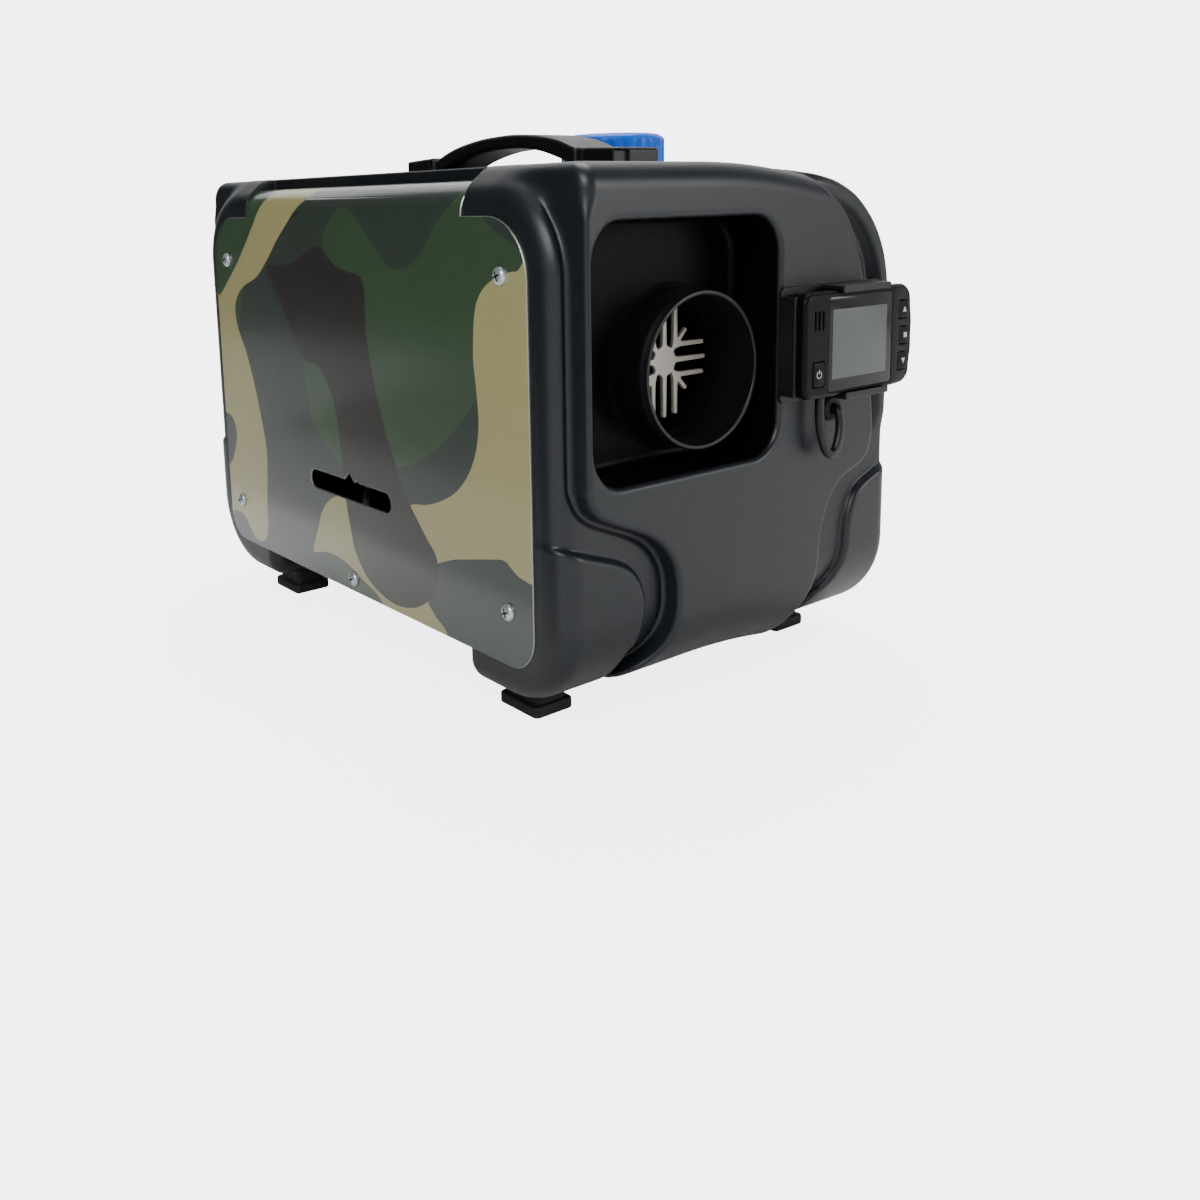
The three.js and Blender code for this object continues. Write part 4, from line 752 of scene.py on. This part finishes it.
# -------- screws
def pan_screw(x, z):
    """A pan head with a washer rim, a cross recess and a stub of shank, facing -Y."""
    face = PANEL_FACE - 0.05
    form = [(0.01, face - 2.6), (1.6, face - 2.5), (3.0, face - 2.05), (3.9, face - 1.3),
            (4.2, face - 0.6), (4.2, face - 0.1), (1.9, face), (1.9, face + 8)]
    points, faces = lathe("y", (x, z), form, 32)
    out = [(points, faces, ZINC)]
    for turn in (0.35, 0.35 + math.pi / 2):
        c, s = math.cos(turn), math.sin(turn)
        ring = []
        for a, b in ((-2.3, -0.42), (2.3, -0.42), (2.3, 0.42), (-2.3, 0.42)):
            ring.append((x + a * c - b * s, face - 2.66, z + a * s + b * c))
        for a, b in ((-1.6, -0.2), (1.6, -0.2), (1.6, 0.2), (-1.6, 0.2)):
            ring.append((x + a * c - b * s, face - 1.6, z + a * s + b * c))
        out.append((ring, [[0, 1, 2, 3], [4, 5, 6, 7]], RUBBER))
    return out


parts = []
for x, z in ((141, 214), (-141, 214), (141, 60), (-141, 60), (-1, 41)):
    parts += pan_screw(x, z)
put(joined("panel_screws", parts), "body", *[f"panel_screw_{i}" for i in range(1, 6)],
    slot="zinc")


# -------- feet
def foot_form(fx, fy):
    def form(x, y, z):
        pad = round_max(rect(x, y, fx, fy, 15, 12, 3.0), np.abs(z - 3) - 3, 1.2)
        pad = round_max(pad, -(np.maximum(np.abs(x - fx) - 10, np.maximum(np.abs(y - fy) - 7,
                                                                          z - 1.2))), 0.6)
        neck = np.maximum(rect(x, y, fx, fy, 12.5, 9.5, 3.0), np.abs(z - 10) - 5)
        return round_min(pad, neck, 1.5)
    return form


for a, fx in (("front", 122.5), ("rear", -122.5)):
    for b, fy in (("near", -88.0), ("far", 88.0)):
        put(moulding(f"rubber_foot_{a}_{b}", foot_form(fx, fy), (fx - 17, fy - 14, -1),
                     (fx + 17, fy + 14, 16.5), 0.8, 5000, RUBBER), "body", f"foot_{a}_{b}",
            slot="rubber")


# -------- carrying handle
HANDLE_Y = 5.8
ARCH = spline([(-67.5, 271.6), (-52, 276.6), (-38.5, 279.6), (-18, 282.3), (4, 283.3),
               (18, 283.0), (35, 281.6), (52, 278.6), (67.5, 273.4)], 1.0)
UNDER = spline([(-67.5, 262.4), (-55, 266.5), (-38.5, 271.2), (-18, 274.6), (2, 275.6),
                (18, 275.2), (35, 273.0), (52, 268.4), (67.5, 262.6)], 1.0)
STRAP = Outline(np.vstack([ARCH, UNDER[::-1]]), (-120, 250), (120, 295), 0.5)


def strap_form(x, y, z):
    strap = round_max(STRAP(x, z), np.abs(y - HANDLE_Y) - 15.75, 2.6)
    grip = 0.5 * np.exp(-((np.abs(y - HANDLE_Y) - 11.5) / 0.8) ** 2)
    grip = grip * step_up((58 - np.abs(x)) / 8)
    return strap + grip


put(moulding("handle_strap", strap_form, (-70, -13, 259), (70, 25, 286), 0.9, 26000, BLACK),
    "body", "carry_handle", slot="handle")


def handle_end_form(side):
    low, high = (67.7, 99.5)

    def form(x, y, z):
        ax = x * side
        top = 273.6 - (ax - low) * 0.045
        shell = round_max(rect(ax, y, (low + high) / 2, HANDLE_Y, (high - low) / 2, 15.75, 3.0),
                          z - top, 2.0)
        shell = round_max(shell, 262.35 - z, 0.6)
        line = 0.6 * np.exp(-((ax - low - 5.5) / 0.6) ** 2)
        notch = np.maximum(np.abs(y - HANDLE_Y + 11.0) - 4.5, np.maximum(97.3 - ax, z - 270.8))
        return round_max(shell + line, -notch, 0.8)
    return form


for name, side in (("front", 1), ("rear", -1)):
    low_x, high_x = (66, 101) if side > 0 else (-101, -66)
    put(moulding(f"handle_cover_{name}", handle_end_form(side), (low_x, -12, 260),
                 (high_x, 24, 276), 0.7, 14000, BLACK), "body", f"handle_end_{name}",
        slot="handle")


# -------- fuel cap
def cap_grip(angle, radius, height):
    """Upright flutes in the side of the cap, fading out above and below."""
    depth = 1.2 * step_up((height - 256.2) / 1.5) * step_up((279.6 - height) / 1.2)
    if radius < CAP_RADIUS - 1.5:
        return radius
    return radius - depth * (0.5 + 0.5 * math.cos(24 * angle)) ** 3


def build_cap():
    rim = [(25, 255.3), (29.6, 255.3), (30.3, 255.9), (30.4, 256.4)]
    side = [(CAP_RADIUS, 256.6 + i * 2.3) for i in range(11)]
    crown_ = [(30.2, 280.4), (29.2, 281.6), (26.6, 282.9), (24.6, 283.2), (23.4, 282.9),
              (22.2, 281.7), (12.0, 281.4), (0.02, 281.4)]
    points, faces = lathe("z", FILLER, rim + side + crown_, 192, cap_grip)
    bore = [(0.02, 279.2), (23.4, 279.2), (23.6, 278.6), (23.6, 256.0), (25, 255.3)]
    inner, inner_faces = lathe("z", FILLER, bore, 96)
    bar = []
    for a, b, h in ((-20, -3.2, 281.4), (20, -3.2, 281.4), (20, 3.2, 281.4), (-20, 3.2, 281.4),
                    (-19, -2.2, 282.9), (19, -2.2, 282.9), (19, 2.2, 282.9), (-19, 2.2, 282.9)):
        bar.append((FILLER[0] + a, FILLER[1] + b, h))
    bar_faces = [[4, 5, 6, 7], [0, 1, 5, 4], [1, 2, 6, 5], [2, 3, 7, 6], [3, 0, 4, 7]]
    return joined("fuel_filler_cap", [(points, faces, BLUE), (inner, inner_faces, BLUE),
                                      (bar, bar_faces, BLUE)], sharp=50.0)


put(build_cap(), "cap", "fuel_cap", slot="cap")


# -------- outlet collar
def ring_part(profile):
    return lathe("x", (AXIS_Y, AXIS_Z), profile, 96)


collar = [(35.5, 175.3), (35.7, 175.8), (36.0, 176.0), (37.0, 176.0), (37.35, 175.8),
          (37.5, 175.3), (37.5, 172.6), (37.9, 172.0), (37.9, 170.6), (37.5, 170.0),
          (37.5, 156.0)]
flange = [(37.5, 156.0), (38.4, 153.4), (41.5, 152.9), (41.5, 149.2), (42.5, 149.2),
          (42.5, 146.7), (35.5, 146.7), (35.5, 175.3)]
# the collar's flange takes the near-black duct finish as painted shade, so that it stays dark in
# the recess
put(joined("outlet_duct_collar", [(*ring_part(collar), BLACK), (*ring_part(flange), DUCT_SHADE_BLACK)],
           sharp=40.0), "body", "outlet_collar", slot="casing")


# -------- exchanger in the outlet
STAR_REACH = 28
STAR_LIFT = 2           # the star sits a little over the axis of the collar


def star_form(x, y, z):
    """Three thin fins each way from a small hub, and a short one between them."""
    u, v = y - AXIS_Y, z - AXIS_Z - STAR_LIFT
    form = np.hypot(u, v) - 7.4
    for a, b in ((u, v), (v, u)):
        for offset in (-7.5, 0, 7.5):
            reach = np.maximum(np.abs(b) - STAR_REACH + 0.02 * offset * offset,
                               6 - np.abs(b) if offset else -9.0)
            fin = round_max(np.abs(a - offset) - 1.5 + 0.014 * np.abs(b), reach, 0.5)
            form = round_min(form, fin, 1.5)
        slanted = round_max(np.abs(u - v if a is u else u + v) * 0.7071 - 1.1,
                            np.hypot(u, v) - 21, 0.5)
        form = round_min(form, slanted, 1.2)
    return round_max(form, np.abs(x - 116) - 34, 0.4)


def build_exchanger():
    """The star in the air stream, and the finned casting that it grows from."""
    reach = 31
    star = moulding("finned_exchanger", star_form, (80, AXIS_Y - reach, AXIS_Z - reach),
                    (151.2, AXIS_Y + reach, AXIS_Z + reach), 0.65, 60000, STAR)
    shell = [(26, -36.7), (45.6, -36.7), (46, -36.3), (46, -33.1), (45.6, -32.7), (34, -32.7),
             (34, 61.6), (33.6, 62), (9, 62), (9, 84), (0.02, 84), (0.02, 55), (26, 55),
             (26, -36.7)]
    parts = [(*ring_part(shell), ALLOY)]
    for i in range(16):
        angle = (i + 0.5) * math.pi / 8
        c, s = math.cos(angle), math.sin(angle)
        corners = [(x, AXIS_Y + r * c - t * s, AXIS_Z + r * s + t * c)
                   for x in (-19.7, 61.6)
                   for r, t in ((33, -1.1), (47, -0.8), (47, 0.8), (33, 1.1))]
        faces = [[0, 1, 2, 3], [7, 6, 5, 4], [0, 4, 5, 1], [1, 5, 6, 2], [2, 6, 7, 3]]
        parts.append((corners, faces, ALLOY))
    stub = [(11, 98.4), (12.6, 98.4), (13, 98.8), (13, 138), (11, 138), (11, 98.4)]
    parts.append((*lathe("z", (-10, AXIS_Y), stub, 40), ALLOY))
    seat = [(0.02, 212.9), (8.6, 212.9), (9, 212.5), (9, 198)]
    parts.append((*lathe("z", (20, AXIS_Y), seat, 40), ALLOY))
    core = joined("exchanger_core", parts)
    for piece in bpy.context.scene.objects:
        piece.select_set(piece in (star, core))
    bpy.context.view_layer.objects.active = star
    bpy.ops.object.join()
    return star


put(build_exchanger(), "body", "heat_exchanger", slot="cast")


# -------- controller
FACE = 200.0
CONTROL = (60.75, 174.25)   # middle of the window
LOBE = 110.4            # where the key side bulges to


def control_outline(y, z, inset=0.0):
    body = rect(y, z, CONTROL[0] + 3.2, CONTROL[1], 46.45 - inset, 25.75 - inset, 6.0)
    bulge = (y - LOBE + 0.0085 * (z - 173.5) ** 2 + 0.35 * np.cos((z - 173.5) * 0.476)) * 0.95
    return round_max(body, bulge + inset, 6.0)


BUTTONS = {"up_button": (97.6, 187.0), "menu_button": (99.2, 173.6), "down_button": (97.6, 160.4)}


def lobe_drop(y):
    """How far the key side of the face lies back from the window's."""
    return 3.2 * step_up((y - 85) / 24)


def front_form(x, y, z):
    shell = round_max(control_outline(y, z), x - FACE + lobe_drop(y), 2.4)
    shell = np.maximum(shell, 193.95 - x)
    window = np.maximum(rect(y, z, *CONTROL, 25.3, 23.3, 2.0), FACE - 0.5 - x)
    shell = round_max(shell, -window, 0.25)
    for k in range(3):
        slit = np.maximum(rect(y, z, 24.9 + 3.0 * k, 186.5, 0.75, 4.6, 0.7), FACE - 1.2 - x)
        shell = np.maximum(shell, -slit)
    power = np.maximum(rect(y, z, 28.2, 160.5, 4.6, 6.4, 1.6), FACE - 2 - x)
    shell = round_max(shell, -power, 0.3)
    for by, bz in BUTTONS.values():
        well = np.maximum(rect(y, z, by, bz, 5.3, 4.9, 1.8), FACE - 3 - x)
        shell = round_max(shell, -well, 0.3)
    return shell


put(moulding("controller_case_front", front_form, (192.5, 15, 146.5), (202, 113, 202.5), 0.55,
             42000, CASE), "body", "controller_front", slot="controller")


def rear_form(x, y, z):
    shell = round_max(control_outline(y, z, 0.5), 187.6 - x, 2.0)
    shell = np.maximum(shell, x - 193.75)
    return shell + 0.25 * np.exp(-((x - 193.0) / 0.35) ** 2)


put(moulding("controller_case_rear", rear_form, (186.5, 15, 146.5), (195, 113, 202.5), 0.7,
             16000, CASE), "body", "controller_rear", slot="controller")


def slab(y0, y1, z0, z1, x0, x1, radius, bevel):
    """A plate facing +X with rounded corners and a bevelled front edge."""
    def ring(inset):
        r = max(radius - inset, 0.05)
        a0, a1, b0, b1 = y0 + inset + r, y1 - inset - r, z0 + inset + r, z1 - inset - r
        return np.vstack([arc(a, b, r, turn, turn + 90, 6) for a, b, turn in
                          ((a0, b0, 180), (a1, b0, 270), (a1, b1, 0), (a0, b1, 90))])
    rows = [(x0, 0.0), (x1 - bevel, 0.0), (x1 - bevel * 0.3, bevel * 0.3), (x1, bevel)]
    points, count = [], 24
    for x, inset in rows:
        points += [(x, a, b) for a, b in ring(inset)]
    faces = grid_faces(len(rows), count)
    faces.append([3 * count + i for i in range(count)])
    faces.append(list(range(count))[::-1])
    return points, faces


put(joined("controller_window", [(*slab(35.6, 85.9, 151.1, 197.4, 199.3, 199.9, 2.0, 0.15),
                                  GLOSS)]), "body", "controller_glass", slot="glass")
put(joined("controller_screen", [(*slab(38.5, 81.6, 157.0, 191.0, 196.3, 199.95, 0.6, 0.03),
                                  LCD)]), "body", "controller_display", slot="display")


def flat_mark(outline, x):
    """A thin printed mark on a face that looks along +X."""
    return [(x, a, b) for a, b in outline], [list(range(len(outline)))]


def ring_mark(cy, cz, r, width, start, end, x):
    outer = arc(cy, cz, r, start, end, 24)
    inner = arc(cy, cz, r - width, start, end, 24)
    points = [(x, a, b) for a, b in outer] + [(x, a, b) for a, b in inner]
    return points, [[i, i + 1, i + 25, i + 24] for i in range(23)]


def key(cy, cz, width, height, marks, face):
    return [(*slab(cy - width / 2, cy + width / 2, cz - height / 2, cz + height / 2, 196.8, face,
                   1.7, 0.5), CASE)] + [(*m, MARK) for m in marks]


cy, cz = 28.2, 160.5
face = FACE + 0.3
marks = [ring_mark(cy, cz, 1.9, 0.42, -240, 60, face + 0.04),
         flat_mark([(cy - 0.22, cz + 0.3), (cy + 0.22, cz + 0.3), (cy + 0.22, cz + 2.4),
                    (cy - 0.25, cz + 2.4)], face + 0.04)]
put(joined("key_power", key(cy, cz, 8.5, 12, marks, face)), "power_key", "power_button",
    slot="rubber")
for name, body_name, shape in (
        ("up_button", "up_key", [(-1.6, -1.3), (1.6, -1.3), (0, 1.5)]),
        ("menu_button", "menu_key", [(-1.3, -1.3), (1.3, -1.3), (1.3, 1.3), (-1.3, 1.3)]),
        ("down_button", "down_key", [(-1.6, 1.3), (0, -1.5), (1.6, 1.3)])):
    cy, cz = BUTTONS[name]
    face = FACE - lobe_drop(cy) + 0.3
    marks = [flat_mark([(cy + a + 1.2, cz + b) for a, b in shape], face + 0.04)]
    put(joined("key_" + name[:-7], key(cy, cz, 9.6, 8.8, marks, face)), body_name, name,
        slot="rubber")


def cradle_form(x, y, z):
    plate = rect(y, z, 54.6, CONTROL[1], 39, 28.2, 3.0)
    plate = np.maximum(plate, np.abs(x - 186.3) - 1.0)
    left = np.maximum(np.abs(y - 16.3) - 0.9, np.maximum(np.abs(z - CONTROL[1]) - 24,
                                                         np.abs(x - 190.4) - 5))
    form = np.minimum(plate, left)
    for low, high, zc, lean in ((44, 82, 201.3, 1), (48, 82, 147.2, -1)):
        arm = np.maximum(np.abs(y - (low + high) / 2) - (high - low) / 2,
                         np.maximum(np.abs(z - zc) - 0.95, np.abs(x - 193.5) - 8.2))
        hook = np.maximum(np.abs(y - (low + high) / 2) - (high - low) / 2,
                          np.maximum(np.abs(z - zc + lean * 0.7) - 1.6, np.abs(x - 201.05) - 0.7))
        form = np.minimum(form, np.minimum(arm, hook))
    return form - 0.05


put(moulding("controller_cradle_clip", cradle_form, (184, 13, 143), (203, 96, 205), 0.6, 30000,
             BLACK), "body", "controller_cradle", slot="controller")


# -------- controller lead
LEAD = spline([(191.1, 41, 150), (191.2, 40.6, 141), (191.8, 41, 131), (192.6, 43.6, 121.5),
               (193, 46.6, 118), (193, 49.6, 117.6), (192.8, 52.6, 120), (192.2, 55.8, 127),
               (191.4, 57, 134), (190.1, 57, 138.3), (188.1, 57, 139), (177, 57, 139)], 0.8)
put(joined("controller_cable", [(*tube(LEAD, 2.3), BLACK)]), "body", "controller_lead",
    slot="rubber")
grommet = [(2.7, 185.3), (2.7, 187.0), (3.2, 187.5), (5.6, 187.4), (6.3, 186.8), (6.5, 185.9),
           (6.5, 185.3), (4.0, 185.3), (4.0, 180.6), (2.7, 180.6), (2.7, 185.3)]
put(joined("cable_grommet", [(*lathe("x", (57, 139), grommet, 40), RUBBER)]), "body",
    "lead_grommet", slot="rubber")


# -------- the other CAD pieces
FINISHES = (
    (TANK, "fuel_tank"),
    (MESH, "filler_strainer fuel_filter"),
    (RUBBER, "cap_gasket pump_clamp stand_gasket intake_pipe"),
    (BRASS, "tank_outlet glow_plug overheat_sensor"),
    (STEEL, "fuel_pump pump_plunger burner_tube motor_shaft fan_motor heater_stand exhaust_pipe"),
    (LINE, "suction_line middle_line delivery_line"),
    # the casings down the warm air path take the same near-black finish, painted shade
    (DUCT_SHADE_BLACK, "lower_case upper_case"),
    (ALLOY, "blower_housing"),
    (FAN, "combustion_impeller heating_fan"),
    (BOARD, "control_board controller_board"),
    (BLACK, "inlet_grille power_inlet"),
    (ZINC, "handle_screw_front handle_screw_rear"),
)
for finish, names in FINISHES:
    for piece in (frame["nodes"][name] for name in names.split()):
        piece.data.materials.clear()
        piece.data.materials.append(finish)
        soft = piece.modifiers.new("edges", "BEVEL")
        soft.width = 0.4 * MM
        soft.segments = 2
        soft.limit_method = "ANGLE"
        soft.angle_limit = math.radians(40)


# -------- studio
def plain(name, code):
    made = bpy.data.materials.new(name)
    made.use_nodes = True
    shader = made.node_tree.nodes["Principled BSDF"]
    shader.inputs["Base Color"].default_value = linear(code)
    shader.inputs["Roughness"].default_value = 0.9
    return made


def build_stage():
    """A pale sweep: a floor that curves up into a wall behind."""
    profile = [(-3000, 0)] + [(900 + 700 * math.sin(a), 700 - 700 * math.cos(a))
                              for a in np.linspace(0, math.pi / 2, 14)] + [(1600, 3500)]
    points = []
    away = Vector((-0.79, 0.61, 0)).normalized()
    across = Vector((0.61, 0.79, 0)).normalized()
    for run, height in profile:
        for side in (-4000, 4000):
            p = away * run + across * side
            points.append((p.x, p.y, height))
    faces = [[2 * i, 2 * i + 1, 2 * i + 3, 2 * i + 2] for i in range(len(profile) - 1)]
    paper = plain("pale_paper", "#f8f8f8")
    # the paper is lit through from behind, which only the camera sees
    seen = node(paper.node_tree, "ShaderNodeLightPath").outputs["Is Camera Ray"]
    glow = node(paper.node_tree, "ShaderNodeMath", {"operation": "MULTIPLY"})
    glow.inputs[1].default_value = 4.0
    paper.node_tree.links.new(seen, glow.inputs[0])
    shader = paper.node_tree.nodes["Principled BSDF"]
    shader.inputs["Emission Color"].default_value = linear("#ffffff")
    paper.node_tree.links.new(glow.outputs[0], shader.inputs["Emission Strength"])
    mesh_object("studio_sweep", points, faces, [paper])


build_stage()


def light(name, place, target, size, power):
    lamp = bpy.data.lights.new(name, "AREA")
    lamp.energy = power
    lamp.size = size
    obj = bpy.data.objects.new(name, lamp)
    obj.location = place
    aim = Vector(target) - Vector(place)
    obj.rotation_euler = aim.to_track_quat("-Z", "Y").to_euler()
    bpy.context.scene.collection.objects.link(obj)


light("key", (1.1, -1.6, 1.5), (0, 0, 0.12), 1.0, 30)
light("right", (1.9, 1.2, 0.8), (0, 0, 0.12), 1.0, 16)
light("overhead", (-0.5, 0.5, 2.3), (0, 0, 0), 1.4, 44)


def dark_card(name, corners, code):
    """A card that only reflections see, to keep glossy faces from washing out."""
    card = mesh_object(name, corners, [[0, 1, 2, 3]], [plain(name, code)])
    card.visible_camera = False
    card.visible_diffuse = False
    card.visible_shadow = False


ROOM = 2600             # how far the cards reach
dark_card("card_side", [(-ROOM, 300, 0), (300, -ROOM, 0), (300, -ROOM, ROOM), (-ROOM, 300, ROOM)],
          "#050505")
for name, code, floor_corners in (
        ("card_near", "#a8a8a8", [(-ROOM, -225), (200, -225), (200, -390), (-ROOM, -390)]),
        ("card_middle", "#585858", [(-650, -390), (200, -390), (260, -850), (-900, -850)]),
        ("card_left", "#a8a8a8", [(-ROOM, -390), (-650, -390), (-900, -850), (-ROOM, -850)]),
        ("card_far", "#303030", [(-ROOM, -850), (260, -850), (300, -ROOM), (-ROOM, -ROOM)])):
    dark_card(name, [(x, y, 4) for x, y in floor_corners], code)

world = bpy.data.worlds.new("soft_room")
bpy.context.scene.world = world
world.use_nodes = True
# pale round the horizon and dark overhead, as in a room with a low ring of soft lights
direction = node(world.node_tree, "ShaderNodeTexCoord").outputs["Generated"]
height = node(world.node_tree, "ShaderNodeSeparateXYZ", links={"Vector": direction}).outputs["Z"]
sky = ramp(world.node_tree, height, [(0.1, "#ffffff"), (0.4, "#8a8d90"), (0.75, "#4a4c4e")])
background = world.node_tree.nodes["Background"]
world.node_tree.links.new(sky, background.inputs["Color"])
background.inputs["Strength"].default_value = 0.6


# -------- camera
PICTURE = 1200          # the photograph's width and height, which the next three are measured in
FOCAL = 1173.83
MIDDLE = (518.5, 412.7)


def build_camera():
    azimuth, elevation, roll = (math.radians(a) for a in (52.259, 10.257, -1.330))
    target, distance = Vector((0, 0, 0.120)), 0.71004
    back = Vector((math.sin(azimuth) * math.cos(elevation),
                   -math.cos(azimuth) * math.cos(elevation), math.sin(elevation)))
    right = Vector((math.cos(azimuth), math.sin(azimuth), 0))
    upward = back.cross(right)
    turned_right = right * math.cos(roll) + upward * math.sin(roll)
    turned_up = upward * math.cos(roll) - right * math.sin(roll)
    data = bpy.data.cameras.new("photo_view")
    data.sensor_width = 36.0
    data.lens = data.sensor_width * FOCAL / PICTURE
    data.shift_x = 0.5 - MIDDLE[0] / PICTURE
    data.shift_y = MIDDLE[1] / PICTURE - 0.5
    data.clip_start = 0.02
    data.clip_end = 30.0
    camera = bpy.data.objects.new("photo_view", data)
    bpy.context.scene.collection.objects.link(camera)
    rows = [turned_right, turned_up, back]
    matrix = camera.matrix_world.copy()
    for column in range(3):
        for row in range(3):
            matrix[row][column] = rows[column][row]
        matrix[column][3] = (target + back * distance)[column]
    camera.matrix_world = matrix
    bpy.context.scene.camera = camera


build_camera()
